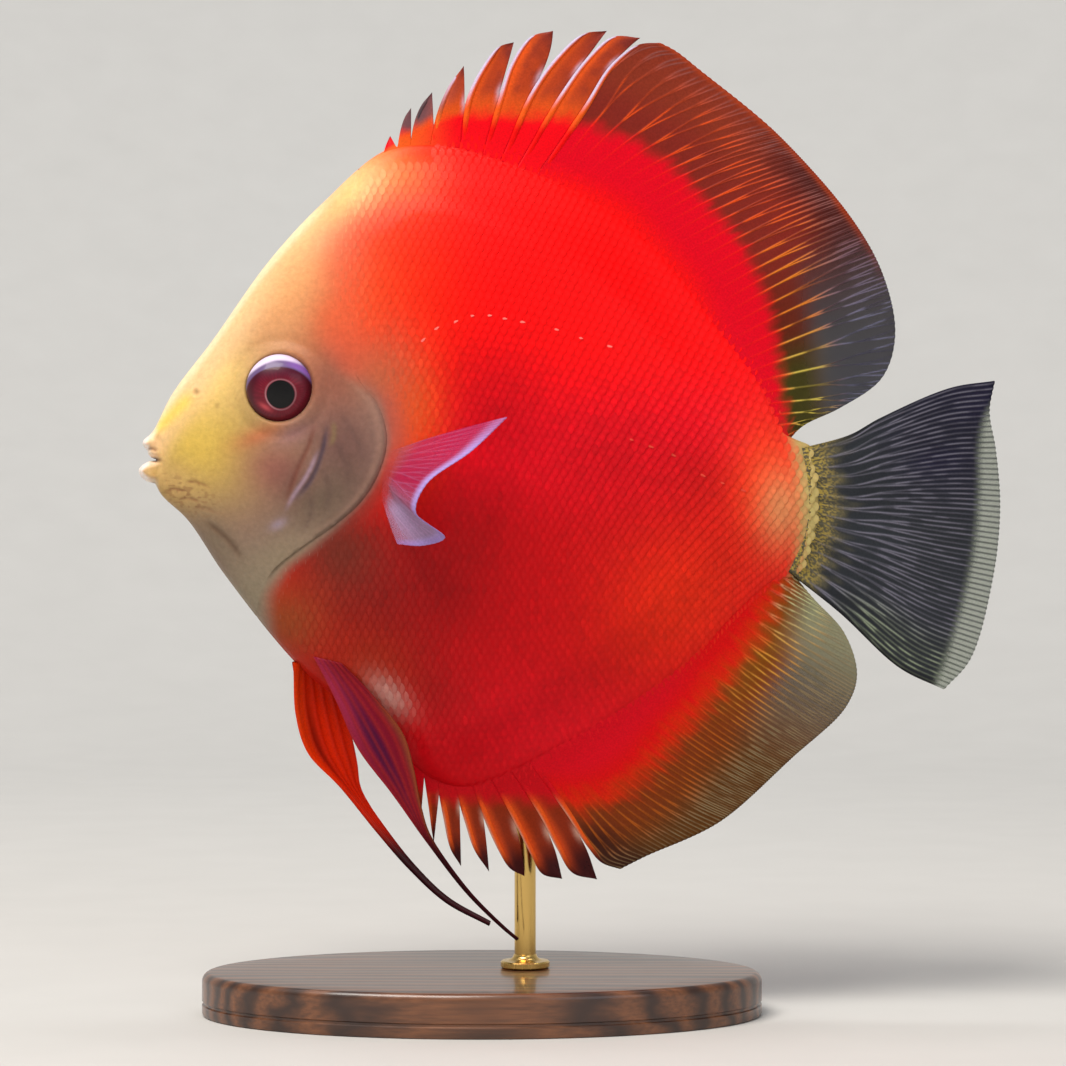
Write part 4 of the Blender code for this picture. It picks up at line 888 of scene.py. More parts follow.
def dorsal_shaft_colour(x, z, t, fore):
    first = 1 - ramp(x, 52.0, 62.0)
    past = past_sheath(x, z, "dorsal")
    colour = np.zeros(x.shape + (3,)) + linear("#F4601C")
    colour = washed(colour, "#A8402A", ramp(t, 0.75, 1.0))
    colour = washed(colour, "#54464C", first * ramp(t, 0.25, 0.6))
    colour = washed(colour, "#D6CCEC", 0.95 * ramp(fore, -0.35, 0.15) * ramp(past, 1.0, 6.0) * (1 - first))
    colour = washed(colour, "#F20A0C", 1 - ramp(past, -3.0, 0.5))
    colour = washed(colour, "#F07A2C", 0.7 * first * (1 - ramp(t, 0.35, 0.6)))
    return with_alpha(colour, np.ones(x.shape))


def dorsal_lappet_colour(x, z, t, share, off_notch):
    past = past_sheath(x, z, "dorsal")
    first = 1 - ramp(x, 52.0, 62.0)
    colour = np.zeros(x.shape + (3,)) + linear("#BA4420")
    colour = washed(colour, "#883228", ramp(t, 0.72, 0.98) + 0.4 * ramp(clouds(x, z, 1.6, 44), 0.5, 0.8))
    colour = washed(colour, "#F4601C", 0.9 * ramp(share, 0.5, 0.12) * ramp(t, 0.98, 0.75))
    colour = washed(colour, "#E85A1C", 0.8 * ramp(past, 6.0, 1.5))
    low = 0.05 + 0.3 * ramp(x, 48.0, 58.0)
    colour = washed(colour, "#64505A", 0.9 * first * ramp(t, low, low + 0.3))
    # Painted highlights: a pale spot in the notch at the foot of each lappet, except on the first spines.
    pale = np.exp(-((off_notch / 1.5) ** 2)) * ramp(share, 0.8, 1.0) * (1 - first)
    colour = washed(colour, "#D8C8DC", 0.75 * pale)
    colour = washed(colour, "#F20618", 1 - ramp(past + 1.5 * (clouds(x, z, 1.2, 43) - 0.5), -1.2, 1.8))
    colour = washed(colour, "#F06A20", 0.8 * (1 - ramp(x, 48.0, 60.0)) * (1 - ramp(past, 0.0, 3.0)) * (1 - ramp(t, 0.2, 0.5)))
    return with_alpha(colour, 1 - 0.06 * ramp(past, 0, 4))


def anal_colour(x, z, share, t, ridge):
    past = past_sheath(x, z, "anal")
    ragged = past + 2.5 * (clouds(60 * share, 12 * t, 1.0, 51) - 0.5) - 1.0 * ridge
    rear = ramp(share, 0.4, 0.75)
    film = np.zeros(x.shape + (3,)) + linear("#7C340E")
    film = washed(film, "#5E3814", ramp(past, 5, 13) * (1 - rear))
    film = washed(film, "#80480E", rear * (1 - ramp(past, 4, 9)))
    film = washed(film, "#5E5240", rear * ramp(past, 6, 12))
    film = washed(film, "#8A8A6A", ramp(share, 0.7, 0.9) * ramp(past, 3, 9))
    film = washed(film, "#2C1010", 0.8 * (1 - ramp(share, 0.02, 0.09)) * ramp(past, 2, 8))
    rays = np.zeros(x.shape + (3,)) + linear("#B45C1A")
    rays = washed(rays, "#D89C3C", rear)
    rays = washed(rays, "#8A7858", ramp(past, 8, 14))
    rays = washed(rays, "#C8CC98", ramp(share, 0.74, 0.92) * (1 - ramp(past, 8, 13)))
    flecks = ramp(clouds(116 * share, 14 * t, 1.0, 52), 0.3, 0.7)
    colour = film + (rays - film) * (ridge * (0.35 + 0.65 * flecks))[..., None]
    colour = washed(colour, "#D02A08", (1 - ramp(ragged, -1.0, 4.5)))
    colour = washed(colour, "#D80C0E", 1 - ramp(ragged, -4.0, 1.0))
    colour = washed(colour, "#D80A1E", ramp(-past, 2.0, 7.0) * (1 - ramp(share, 0.4, 0.7)))
    alpha = 1 - (0.05 + 0.2 * rear * ramp(past, 5, 10)) * ramp(ragged, 0, 3) * (1 - 0.6 * ridge)
    return with_alpha(colour, alpha)


def anal_shaft_colour(x, z, t, fore):
    colour = np.zeros(x.shape + (3,)) + linear("#E2581C")
    colour = washed(colour, "#3E1014", ramp(t, 0.7, 0.95))
    edge = ramp(fore, 0.1, 0.7) * ramp(t, 0.25, 0.5) * (1 - ramp(t, 0.6, 0.85))
    colour = washed(colour, "#E0B8A0", 0.6 * edge)
    colour = washed(colour, "#CC0A18", 1 - ramp(past_sheath(x, z, "anal"), -2.0, 2.0))
    return with_alpha(colour, np.ones(x.shape))


def anal_lappet_colour(x, z, t, share, off_notch):
    past = past_sheath(x, z, "anal")
    colour = np.zeros(x.shape + (3,)) + linear("#8A2C10")
    colour = washed(colour, "#3A0E10", ramp(t, 0.55, 0.85))
    colour = washed(colour, "#E0501A", 0.85 * ramp(share, 0.55, 0.1) * (1 - ramp(t, 0.6, 0.9)))
    # Painted highlights: a pale spot in the notch at the foot of each lappet.
    colour = washed(colour, "#D8B09C", 0.7 * np.exp(-((off_notch / 1.5) ** 2)) * ramp(share, 0.7, 1.0))
    colour = washed(colour, "#C80A18", 1 - ramp(past + 1.5 * (clouds(x, z, 1.2, 53) - 0.5), -1.5, 2.0))
    return with_alpha(colour, 1 - 0.06 * ramp(past, 0, 4))


fin_skin = fin_film("fin film over rays", 0.4, 0.2)
base = shifted(stretch(TOP, 44.8, 120.0, EVEN), -FIN_ROOT_DEPTH)
dorsal = median_fin("dorsal_rays", base, DORSAL_SPINES, DORSAL_EDGE, DORSAL_SPREAD, 30, 1, fin_skin,
                    (dorsal_colour, dorsal_shaft_colour, dorsal_lappet_colour), 0.088, (0.44, 0.7))
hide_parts("dorsal_fin")
base = shifted(stretch(BOTTOM, 53.2, 121.4, EVEN), FIN_ROOT_DEPTH)
anal = median_fin("anal_rays", base, ANAL_SPINES, ANAL_EDGE, ANAL_SPREAD, 29, -1, fin_skin,
                  (anal_colour, anal_shaft_colour, anal_lappet_colour), 0.085, (0.12, 0.6))
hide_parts("anal_fin")

# The tail fin: fifteen twice-forked rays in smoky film, with a clear band along the hind edge.
# Gold and olive flecks cover its fleshy root. It swings very slightly to one side.
TAIL_UPPER_EDGE = [(124.9, 2.4), (132.4, 4.7), (138.0, 7.8), (151.0, 13.4), (159.2, 14.7)]
TAIL_LOWER_EDGE = [(122.3, -21.4), (130.6, -28.5), (141.7, -38.7), (150.1, -42.8)]
TAIL_HIND_EDGE = [(150.1, -42.8), (155.2, -37.0), (159.4, -22.0), (160.6, -9.0), (159.6, 1.9),
                  (158.3, 9.0), (159.2, 14.7)]
TAIL_CLEAR_BORDER = [(148.0, -43.0), (151.5, -34.0), (155.5, -18.0), (156.6, -6.0), (156.6, 3.0),
                     (158.0, 9.0), (161.5, 13.0)]
TAIL_RAYS = 15
TAIL_SWING = 2.4
CLEAR_BORDER = smooth(TAIL_CLEAR_BORDER, EVEN[::8])


def tail_colour(x, z, share, t, ridge):
    clear = ramp(-off_curve(CLEAR_BORDER, x, z), -1.2, 1.0)
    film = np.zeros(x.shape + (3,)) + linear("#32363C")
    film = washed(film, "#201E36", ramp(share, 0.5, 0.8) * ramp(t, 0.3, 0.7))
    film = washed(film, "#24262A", 0.6 * clouds(12 * share, 3 * t, 1.0, 61))
    rays = np.zeros(x.shape + (3,)) + linear("#7A7888")
    rays = washed(rays, "#A4B48C", 0.7 * (1 - ramp(share, 0.05, 0.22)) * ramp(t, 0.2, 0.5))
    glints = 0.35 + 0.65 * ramp(clouds(90 * share, 14 * t, 1.0, 62), 0.35, 0.7)
    colour = film + (rays - film) * (ridge * glints * 0.85)[..., None]
    colour = washed(colour, "#8A9480", 0.9 * clear * (1 - ridge))
    colour = washed(colour, "#3A4440", 0.8 * clear * ridge)
    flecks = clouds(110 * share, 150 * t, 1.0, 63)
    root = 1 - ramp(t + 0.16 * (clouds(30 * share, 12 * t, 1.0, 64) - 0.5), 0.03, 0.26)
    colour = washed(colour, "#6E6850", root * 0.85)
    colour = washed(colour, "#B8A050", root * ramp(flecks, 0.42, 0.66) * (1 - ramp(t, 0.06, 0.22)))
    colour = washed(colour, "#121016", 0.85 * (1 - ramp(share, 0.0, 0.03)) * (1 - clear))
    alpha = 0.95 - 0.5 * clear * (1 - 0.7 * ridge)
    return with_alpha(colour, np.maximum(alpha, root))


per_ray, rows = 26, 90
out = np.linspace(0, 1, rows) ** 1.5
s = np.linspace(0, TAIL_RAYS, TAIL_RAYS * per_ray + 1)
end = shifted(smooth(TAIL_END, np.linspace(0, 1, len(s))), 1.2)
hind = smooth(TAIL_HIND_EDGE, np.linspace(0, 1, len(s)))
fringe = 1 - 0.006 * (1 - ray_ridge(s, 1.0, 3.5, 0.3, 0.5, 0.5))
low = smooth([end[0]] + TAIL_LOWER_EDGE[1:], out)
high = smooth([end[-1]] + TAIL_UPPER_EDGE[1:], out)
grid = tail_patch(low, high, end, hind, out)
grid = grid[:, :1] + (grid - grid[:, :1]) * fringe[:, None, None]
t = out[None] + 0 * s[:, None]
share = (s / TAIL_RAYS)[:, None] + 0 * t
swing = TAIL_SWING * t**2 * np.sin(math.pi * (0.15 + 1.1 * share))
spacing = np.linalg.norm(np.gradient(grid, axis=0), axis=2) * per_ray
ridge = ray_ridge(s[:, None] + 0 * t - 0.5, t, spacing, 0.08, 0.3, 0.15)
edge_ray = np.exp(-((share / 0.012) ** 2)) + np.exp(-(((1 - share) / 0.012) ** 2))
root_half = np.maximum(half_width(grid[:, :1, 0], grid[:, :1, 1]) - SKIN_INSET, 0.3)
half = FILM + 0.13 * np.maximum(ridge, edge_ray) * (1 - 0.5 * t)
half = half + (root_half - FILM) * np.exp(-((t / 0.07) ** 1.5))
half *= 1 - 0.5 * ramp(t, 0.98, 1.0)
middle = np.stack([grid[..., 0], swing, grid[..., 1]], axis=-1)
points, faces = closed_sheet(middle, half)
colours = tail_colour(grid[..., 0], grid[..., 1], share, t, ridge)
tail = new_piece("tail_rays", points, faces, fin_skin, np.vstack([colours.reshape(-1, 4)] * 2),
                 "tail_fin")
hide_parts("caudal_fin")

# The breast fins: clear pink fans with a lilac hem, each on a short fleshy stem.
# The near one is caught in mid stroke, cupped, with its hem toward the viewer. The far one
# mirrors it.
PECTORAL_ROOT = [(47.6, 1.0), (46.6, -3.2), (46.0, -7.0)]
PECTORAL_EDGE = [(68.9, -19.5, 7.3), (62.5, -25.5, 1.0), (54.6, -29.8, -5.0),
                 (52.7, -29.2, -9.8), (57.7, -22.4, -14.5), (53.4, -19.4, -15.9),
                 (49.0, -17.6, -15.6)]
PECTORAL_BEND = (0.35, 0.62, 0.5)
PECTORAL_RAYS = 12


def pectoral_colour(share, t, ridge):
    lower = ramp(share, 0.45, 0.7)
    film = np.zeros(share.shape + (3,)) + linear("#AC2A60")
    film = washed(film, "#B4A0C6", lower)
    film = washed(film, "#A0687C", 1 - ramp(t, 0.0, 0.4))
    colour = washed(film, "#C8A0D0", 0.25 * ridge)
    hem = ramp(t, 0.84, 0.97) * (1 - 0.5 * ramp(share, 0.25, 0.0))
    colour = washed(colour, "#B49ADC", hem)
    alpha = 0.4 + 0.12 * ridge + 0.5 * hem + 0.3 * lower
    return with_alpha(colour, alpha * (0.1 + 0.9 * ramp(t, 0.0, 0.35)) * (0.25 + 0.75 * ramp(share, 1.0, 0.85)))


per_ray, rows = 22, 48
s = np.linspace(0, PECTORAL_RAYS, PECTORAL_RAYS * per_ray + 1)
share = s / PECTORAL_RAYS
roots = smooth(PECTORAL_ROOT, share)
tips = smooth(PECTORAL_EDGE, share) * (1, -1, 1)
tuck = half_width(roots[:, 0], roots[:, 1]) - 0.8
start = np.stack([roots[:, 0], tuck, roots[:, 1]], axis=1)
bend = start + (tips - start) * PECTORAL_BEND
fringe = 1 - 0.008 * (1 - ray_ridge(s, 1.0, 2.5, 0.3, 0.5, 0.4))
t = np.linspace(0, 1, rows)[None, :, None] * fringe[:, None, None]
fan = (1 - t) ** 2 * start[:, None] + 2 * t * (1 - t) * bend[:, None] + t**2 * tips[:, None]
t = t[..., 0]
spacing = np.linalg.norm(np.gradient(fan, axis=0), axis=2) * per_ray
ridge = ray_ridge(s[:, None] + 0 * t, t, spacing, 0.3, 0.55, 0.1)
half = 0.07 + 0.07 * ridge * (1 - 0.6 * t) + 0.6 * np.exp(-((t / 0.1) ** 1.5))
colours = pectoral_colour(share[:, None] + 0 * t, t, ridge)
for side, flank in ((-1, "left"), (1, "right")):
    points, faces = closed_sheet(fan * (1, side, 1), half)
    if side < 0:
        faces = [part[:, ::-1] for part in faces]
    breast_fin = new_piece("pectoral_rays_" + flank, points, faces, fin_skin,
                           np.vstack([colours.reshape(-1, 4)] * 2), "breast_fins")
    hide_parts("pectoral_fin_" + flank)

# The belly fins: a blade of one spine and five rays that draws out into long dark threads.
# The far one is flame orange and the near one crimson with a violet streak.
PELVIC_LEFT_LEAD = [(33.2, -36.4), (37.3, -44.6), (41.3, -53.2), (47.7, -61.5), (54.0, -70.0),
                    (61.3, -79.6), (67.8, -86.2), (70.6, -88.6)]
PELVIC_LEFT_TRAIL = [(38.4, -37.6), (44.6, -44.1), (49.6, -50.5), (51.6, -57.0), (52.9, -63.6),
                     (54.8, -69.3), (61.9, -79.2), (68.2, -85.9), (70.9, -88.4)]
PELVIC_RIGHT_LEAD = [(29.0, -37.5), (29.3, -47.5), (31.5, -54.6), (37.7, -61.2), (44.2, -69.2),
                     (50.4, -76.2), (57.3, -82.4), (65.4, -86.6)]
PELVIC_RIGHT_TRAIL = [(36.0, -39.3), (38.6, -48.0), (40.4, -56.5), (41.0, -61.2), (42.6, -64.6),
                      (45.9, -69.4), (50.9, -75.4), (57.8, -81.8), (65.6, -86.3)]
PELVIC_SPLAY = 3.6
PELVIC_TURN = 0.85
PELVIC_DRAW_IN = 0.3
PELVIC_RAYS = 5


def pelvic_colour(side, share, t, ridge):
    if side > 0:
        colour = np.zeros(share.shape + (3,)) + linear("#E82C02")
        colour = washed(colour, "#7A0C04", 0.85 * spot(share, t, 0.25, 0.26, 0.1, 0.16))
        colour = washed(colour, "#B41406", 0.4 * ridge)
        colour = washed(colour, "#F04A10", 0.7 * spot(share, t, 0.05, 0.12, 0.12, 0.2))
    else:
        colour = np.zeros(share.shape + (3,)) + linear("#7A0E24")
        colour = washed(colour, "#9C2A4C", 0.9 * spot(share, t, 0.1, 0.1, 0.35, 0.2))
        colour = washed(colour, "#2C0A38", 0.95 * spot(share, t, 0.4, 0.3, 0.16, 0.2))
        colour = washed(colour, "#A02420", 0.5 * ridge)
        colour = washed(colour, "#8A5028", 0.6 * ramp(share, 0.8, 1.0) * ramp(t, 0.1, 0.25))
    colour = washed(colour, "#3A0812", ramp(t, 0.5, 0.68))
    return with_alpha(colour, 0.97 + 0 * share)


per_ray, rows = 16, 110
s = np.linspace(0, PELVIC_RAYS, PELVIC_RAYS * per_ray + 1)
share = s / PELVIC_RAYS
for side, flank, lead, trail in ((-1, "left", PELVIC_LEFT_LEAD, PELVIC_LEFT_TRAIL),
                                 (1, "right", PELVIC_RIGHT_LEAD, PELVIC_RIGHT_TRAIL)):
    t = np.linspace(0, 1, rows)
    lead, trail = smooth(lead, t), smooth(trail, t)
    draw_out = (1 - 0.45 * ramp(t, 0.5, 0.85))[None, :, None]
    flat = lead[None] + (trail - lead)[None] * share[:, None, None] * draw_out
    start = half_width(flat[:, 0, 0], flat[:, 0, 1])[:, None] - 0.9
    out = start * (1 - PELVIC_DRAW_IN * t**2) + PELVIC_SPLAY * np.sin(math.pi * PELVIC_TURN * t)
    t = t[None] + 0 * share[:, None]
    blade = np.stack([flat[..., 0], side * out, flat[..., 1]], axis=-1)
    spacing = np.linalg.norm(np.gradient(blade, axis=0), axis=2) * per_ray
    ridge = ray_ridge(s[:, None] + 0 * t, t, spacing, 0.45, 2.0, 0.3)
    half = 0.12 + 0.16 * ridge * (1 - 0.4 * t) + 0.6 * np.exp(-((t / 0.05) ** 1.5))
    half += 0.25 * np.exp(-((share[:, None] / 0.08) ** 2)) * (1 - 0.5 * t)
    points, faces = closed_sheet(blade, half)
    if side < 0:
        faces = [part[:, ::-1] for part in faces]
    colours = pelvic_colour(side, share[:, None] + 0 * t, t, ridge)
    belly_fin = new_piece("pelvic_rays_" + flank, points, faces, fin_skin,
                          np.vstack([colours.reshape(-1, 4)] * 2), "belly_fins")
    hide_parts("pelvic_fin_" + flank)

# The scales: thin horny discs, each rooted in its own pocket of the skin.
# They lie like roof tiles along the flow from head to tail and run out over the feet of the
# fins, the free edge of each just clear of the next. None grow on the bare face.
SCALE_PITCH = 1.45
SCALE_ROW = 1.46
SCALE_LENGTH = 2.5
SCALE_WIDTH = 2.45
SCALE_ROOT_DEPTH = 0.12
SCALE_LIFT = 0.07
SHEATH_SCALES = 4.0
FLANK_LINE = [(24.0, 9.0), (60.0, 8.0), (80.0, 5.4), (92.0, 2.2), (104.0, -2.8), (113.0, -6.8),
              (128.0, -10.4)]
SCALE_GRID = np.linspace(-1, 1, 5)
LATERAL_LINE = [(53.2, 21.4), (55.6, 23.6), (59.0, 24.9), (61.9, 26.0), (65.1, 26.2), (67.9, 25.7),
                (71.2, 25.1), (77.4, 23.8), (81.8, 22.3), (87.2, 20.8)]
LOWER_LATERAL_LINE = [(91.1, 3.7), (94.8, 2.4), (99.0, 0.9), (104.5, -2.8), (108.0, -4.2),
                      (112.0, -5.6)]


def row_height(x, row):
    """The height of a scale row at x: parallel rows that sink toward the tail with the flow."""
    line = smooth(FLANK_LINE, EVEN)
    sink = np.interp(x, line[:, 0], line[:, 1]) - FLANK_LINE[0][1]
    up = row * SCALE_ROW
    return FLANK_LINE[0][1] + up * (1 - 0.18 * ramp(x, 60.0, 124.0)) + sink * np.exp(-((up / 42.0) ** 2))


def scale_roots():
    """The side-view place, the slope, the size and the rise of each scale on a flank."""
    x, row = np.meshgrid(np.arange(26.0, 126.0, SCALE_PITCH), np.arange(-60, 60), indexing="ij")
    x = x + 0.5 * SCALE_PITCH * (row % 2)
    draw = np.random.default_rng(11)
    x = x + draw.normal(0, 0.05, x.shape)
    z = row_height(x, row) + draw.normal(0, 0.04, x.shape)
    slope = row_height(x + 0.5, row) - row_height(x - 0.5, row)
    back = z - np.interp(x, TOP[:, 0], TOP[:, 1])
    belly = np.interp(x, BOTTOM[:, 0], BOTTOM[:, 1]) - z
    past_back = np.where(back > 0, past_sheath(x, z, "dorsal"), -99)
    past_belly = np.where(belly > 0, past_sheath(x, z, "anal"), -99)
    tail = np.interp(z, *np.array(TAIL_END).T[::-1]) + 0.2
    start = 1.6 - 5.0 * ramp(z, 18.0, 34.0)
    off = behind_head(x, z)
    rim = 0.6 + 2.6 * (1 - ramp(x, 52.0, 64.0))
    keep = (off > start) & (x < tail)
    keep &= (back < -rim) | ((x > 54) & (x < 119) & (past_back < -1.0) & (back < SHEATH_SCALES))
    keep &= (belly < -rim) | ((x > 60) & (x < 119) & (past_belly < -1.0) & (belly < SHEATH_SCALES))
    size = 1 - 0.18 * ramp(x, 70.0, 124.0)
    size *= 1 - 0.5 * ramp(np.maximum(back, belly), -3.0, SHEATH_SCALES)
    size *= 0.55 + 0.45 * ramp(off, start, start + 6.0)
    rise = 0.25 + 0.75 * ramp(off, start, start + 9.0)
    rise *= 1 - 0.9 * ramp(np.maximum(back, belly), -3.0, SHEATH_SCALES)
    rise *= 0.6 + 0.4 * ramp(x + 0.8 * z, 55.0, 105.0)
    return x[keep], z[keep], slope[keep], size[keep], rise[keep]


def girth_share(x, z):
    """How far round the flank a place lies, from 0 at the belly to 1 at the back."""
    top = np.interp(x, TOP[:, 0], TOP[:, 1]) + SHEATH_SCALES
    bottom = np.interp(x, BOTTOM[:, 0], BOTTOM[:, 1]) - SHEATH_SCALES
    share = np.clip((z - bottom) / (top - bottom), 0, 1)
    return np.arccos(1 - 2 * share) / math.pi


def skin_sheet(x, z, side):
    """A place on the skin unrolled flat: the left flank fills the lower half, the right the upper."""
    v = 0.02 + 0.46 * girth_share(x, z) + (0.5 if side > 0 else 0.0)
    return np.column_stack([0.02 + 0.96 * x / 130.0, v])


def ground(x, z):
    """Half the width that the scales lie on: the skin, and past its edge the feet of the fins."""
    width = skin_width(x, z) - SKIN_INSET
    back = z > np.interp(x, TOP[:, 0], TOP[:, 1])
    belly = z < np.interp(x, BOTTOM[:, 0], BOTTOM[:, 1])
    for outside, name in ((back, "dorsal"), (belly, "anal")):
        width[outside] = sheath_half(x[outside], z[outside], name)
    return width


def scale_shapes(x, z, slope, size, rise, length, breadth, lift):
    """Side-view places and widths of the points of many scales, with each point's tint: a painted highlight
    toward the middle of the free edge and painted shade toward the root.
    """
    p, q = [grid.ravel() for grid in np.meshgrid(SCALE_GRID, SCALE_GRID, indexing="ij")]
    a, b = p * np.sqrt(1 - q * q / 2), q * np.sqrt(1 - p * p / 2)
    along = 0.5 * length * (a + 0.15)
    sideways = 0.5 * breadth * b
    height = lift * (a + 1) / 2 + 0.03 * (1 - b * b)
    along, sideways, height = np.append(along, -0.2), np.append(sideways, 0), np.append(height, 0.0)
    turn = np.arctan(slope)[:, None]
    size, rise = size[:, None], rise[:, None]
    height = rise * height - SCALE_ROOT_DEPTH * (1 - np.append(a, -2.0)) / 2
    px = x[:, None] + size * (along * np.cos(turn) - sideways * np.sin(turn))
    pz = z[:, None] + size * (along * np.sin(turn) + sideways * np.cos(turn))
    width = ground(px.ravel(), pz.ravel()).reshape(px.shape)
    step = 0.1
    slope_x = (half_width(px + step, pz) - half_width(px - step, pz)) / (2 * step)
    slope_z = (half_width(px, pz + step) - half_width(px, pz - step)) / (2 * step)
    lean = np.sqrt(1 + slope_x**2 + slope_z**2)
    points = np.stack([px - height * slope_x / lean, width + height / lean,
                       pz - height * slope_z / lean], axis=-1)
    # Painted light on each scale: a highlight toward the middle of its free edge, painted shade toward its root
    # and on its buried foot.
    painted_gleam_and_shade = 0.16 * np.exp(-(((a - 0.45) / 0.4) ** 2) - (b / 0.6) ** 2) - 0.06 * np.clip(-a, 0, 1)
    return points, np.append(a, 0), np.append(b, 0), rise * np.append(painted_gleam_and_shade, -0.1)


def scale_coat(name, places, shapes, colours, side, look):
    """Joins the scales of one flank into one mesh, each on its own patch of the unrolled skin."""
    points, a, b, painted_gleam_and_shade = shapes
    each = len(SCALE_GRID)
    quads = grid_faces(each, each)
    ring = rim_of(each, each)
    tips = np.column_stack([np.roll(ring, -1), ring, np.full(len(ring), each * each)])
    if side > 0:
        quads, tips = quads[:, ::-1], tips[:, ::-1]
    first = (np.arange(len(points)) * (each * each + 1))[:, None, None]
    faces = [(first + part).reshape(-1, part.shape[1]) for part in (quads, tips)]
    x, z = places
    draw = np.random.default_rng(12)
    shade = 1 + draw.normal(0, 0.045, (len(x), 1)) + painted_gleam_and_shade
    tint = np.clip(colours[:, None] * shade[..., None] + 0.03 * np.clip(painted_gleam_and_shade, 0, 1)[..., None], 0, 1)
    flat = skin_sheet(x, z, side)[:, None] + 0.0015 * np.column_stack([a, b])
    coat = new_piece(name, (points * (1, side, 1)).reshape(-1, 3), faces, look,
                     opaque(tint.reshape(-1, 3)), "skin")
    mesh = coat.data
    mesh.set_sharp_from_angle(angle=math.radians(50))
    corners = np.empty(len(mesh.loops), np.int32)
    mesh.loops.foreach_get("vertex_index", corners)
    layer = mesh.uv_layers.new(name="OFBake")
    layer.data.foreach_set("uv", flat.reshape(-1, 2)[corners].astype(np.float32).ravel())


scale_skin = wet_hide("wet scales", 0.5, 0.12, 0.36)
root_x, root_z, root_slope, root_size, root_rise = scale_roots()
for part, chosen in (("front", root_x < 78.0), ("rear", root_x >= 78.0)):
    places = (root_x[chosen], root_z[chosen])
    shapes = scale_shapes(*places, root_slope[chosen], root_size[chosen], root_rise[chosen],
                          SCALE_LENGTH, SCALE_WIDTH, SCALE_LIFT)
    colours = markings_and_painted_light(*places)
    for side, flank in ((-1, "left"), (1, "right")):
        scale_coat(f"scales_{flank}_{part}", places, shapes, colours, side, scale_skin)

# The lateral line: a row of pored scales, each with a short pale tube along its middle.
pores = np.array(LATERAL_LINE + LOWER_LATERAL_LINE)
lean = np.concatenate([np.gradient(np.array(line)[:, 1]) / np.gradient(np.array(line)[:, 0])
                       for line in (LATERAL_LINE, LOWER_LATERAL_LINE)])
even = np.ones(len(pores))
shapes = scale_shapes(pores[:, 0], pores[:, 1], lean, even, even, 1.5, 0.42, 0.16)
pale = np.where(np.arange(len(pores))[:, None] < len(LATERAL_LINE), linear("#F87068"), linear("#D04030"))
for side, flank in ((-1, "left"), (1, "right")):
    scale_coat("lateral_line_" + flank, (pores[:, 0], pores[:, 1]), shapes, pale, side, scale_skin)

# The plinth: an oval of solid walnut, turned, sanded and lacquered to a satin shine.
# Its upper edge is rounded over and a fine groove runs round the side.
PLINTH_LENGTH = 104.0
PLINTH_WIDTH = 62.0
PLINTH_HEIGHT = 8.0
PLINTH_ROUND = 1.6
FLOOR = -MOUTH_HEIGHT
ROD_X, ROD_Y = 72.0, 4.2


def turned(name, profile, centre, look, slot, sides=160, squeeze=1.0):
    """A turned piece: profile is a list of (radius, height) from its foot up."""
    turn = np.linspace(0, 2 * math.pi, sides, endpoint=False)
    radius, height = np.array(profile).T
    points = np.stack([centre[0] + radius[:, None] * np.cos(turn),
                       centre[1] + squeeze * radius[:, None] * np.sin(turn),
                       height[:, None] + 0 * turn], axis=-1).reshape(-1, 3)
    one = (np.arange(len(profile) - 1)[:, None] * sides + np.arange(sides)).ravel()
    after = (np.arange(len(profile) - 1)[:, None] * sides + (np.arange(sides) + 1) % sides).ravel()
    quads = np.column_stack([one, after, after + sides, one + sides])
    caps = [np.arange(sides)[None, ::-1], (len(points) - sides + np.arange(sides))[None]]
    made = new_piece(name, points, [quads] + caps, look, None, slot)
    made.data.set_sharp_from_angle(angle=math.radians(32))
    return made


made, tree, shader, where = new_material("lacquered walnut")
walnut = made
lengthways = node(tree, "Mapping", {"Vector": where, "Scale": (1.0, 9.0, 9.0)})
rings = node(tree, "TexWave", {"Vector": lengthways.outputs[0], "Scale": 9.0, "Distortion": 7.0,
                               "Detail": 3.0, "Detail Scale": 1.4}, wave_type="BANDS",
             bands_direction="Y")
pores = node(tree, "TexNoise", {"Vector": node(tree, "Mapping", {"Vector": where, "Scale": (60.0, 1800.0, 1800.0)}).outputs[0],
                                "Scale": 1.0, "Detail": 4.0})
grain = node(tree, "Math", {0: rings.outputs["Fac"], 1: pores.outputs["Fac"]}, operation="MULTIPLY")
wood = node(tree, "ValToRGB", {"Fac": grain.outputs[0]})
wood.color_ramp.elements[0].color = (*linear("#2E170C"), 1)
wood.color_ramp.elements[1].color = (*linear("#7A4A2A"), 1)
wood.color_ramp.elements[1].position = 0.7
tree.links.new(wood.outputs["Color"], shader.inputs["Base Color"])
rough = node(tree, "MapRange", {"Value": pores.outputs["Fac"], "To Min": 0.3, "To Max": 0.5})
tree.links.new(rough.outputs["Result"], shader.inputs["Roughness"])
bump = node(tree, "Bump", {"Height": grain.outputs[0], "Strength": 0.12, "Distance": 0.0003})
tree.links.new(bump.outputs["Normal"], shader.inputs["Normal"])
shader.inputs["Coat Weight"].default_value = 0.5
shader.inputs["Coat Roughness"].default_value = 0.12
radius = PLINTH_LENGTH / 2
top = FLOOR + PLINTH_HEIGHT
profile = [(radius - 0.6, FLOOR), (radius - 0.2, FLOOR + 0.15), (radius, FLOOR + 0.6)]
profile += [(radius, FLOOR + 2.0), (radius - 0.35, FLOOR + 2.2), (radius - 0.35, FLOOR + 2.6),
            (radius, FLOOR + 2.8), (radius, top - PLINTH_ROUND)]
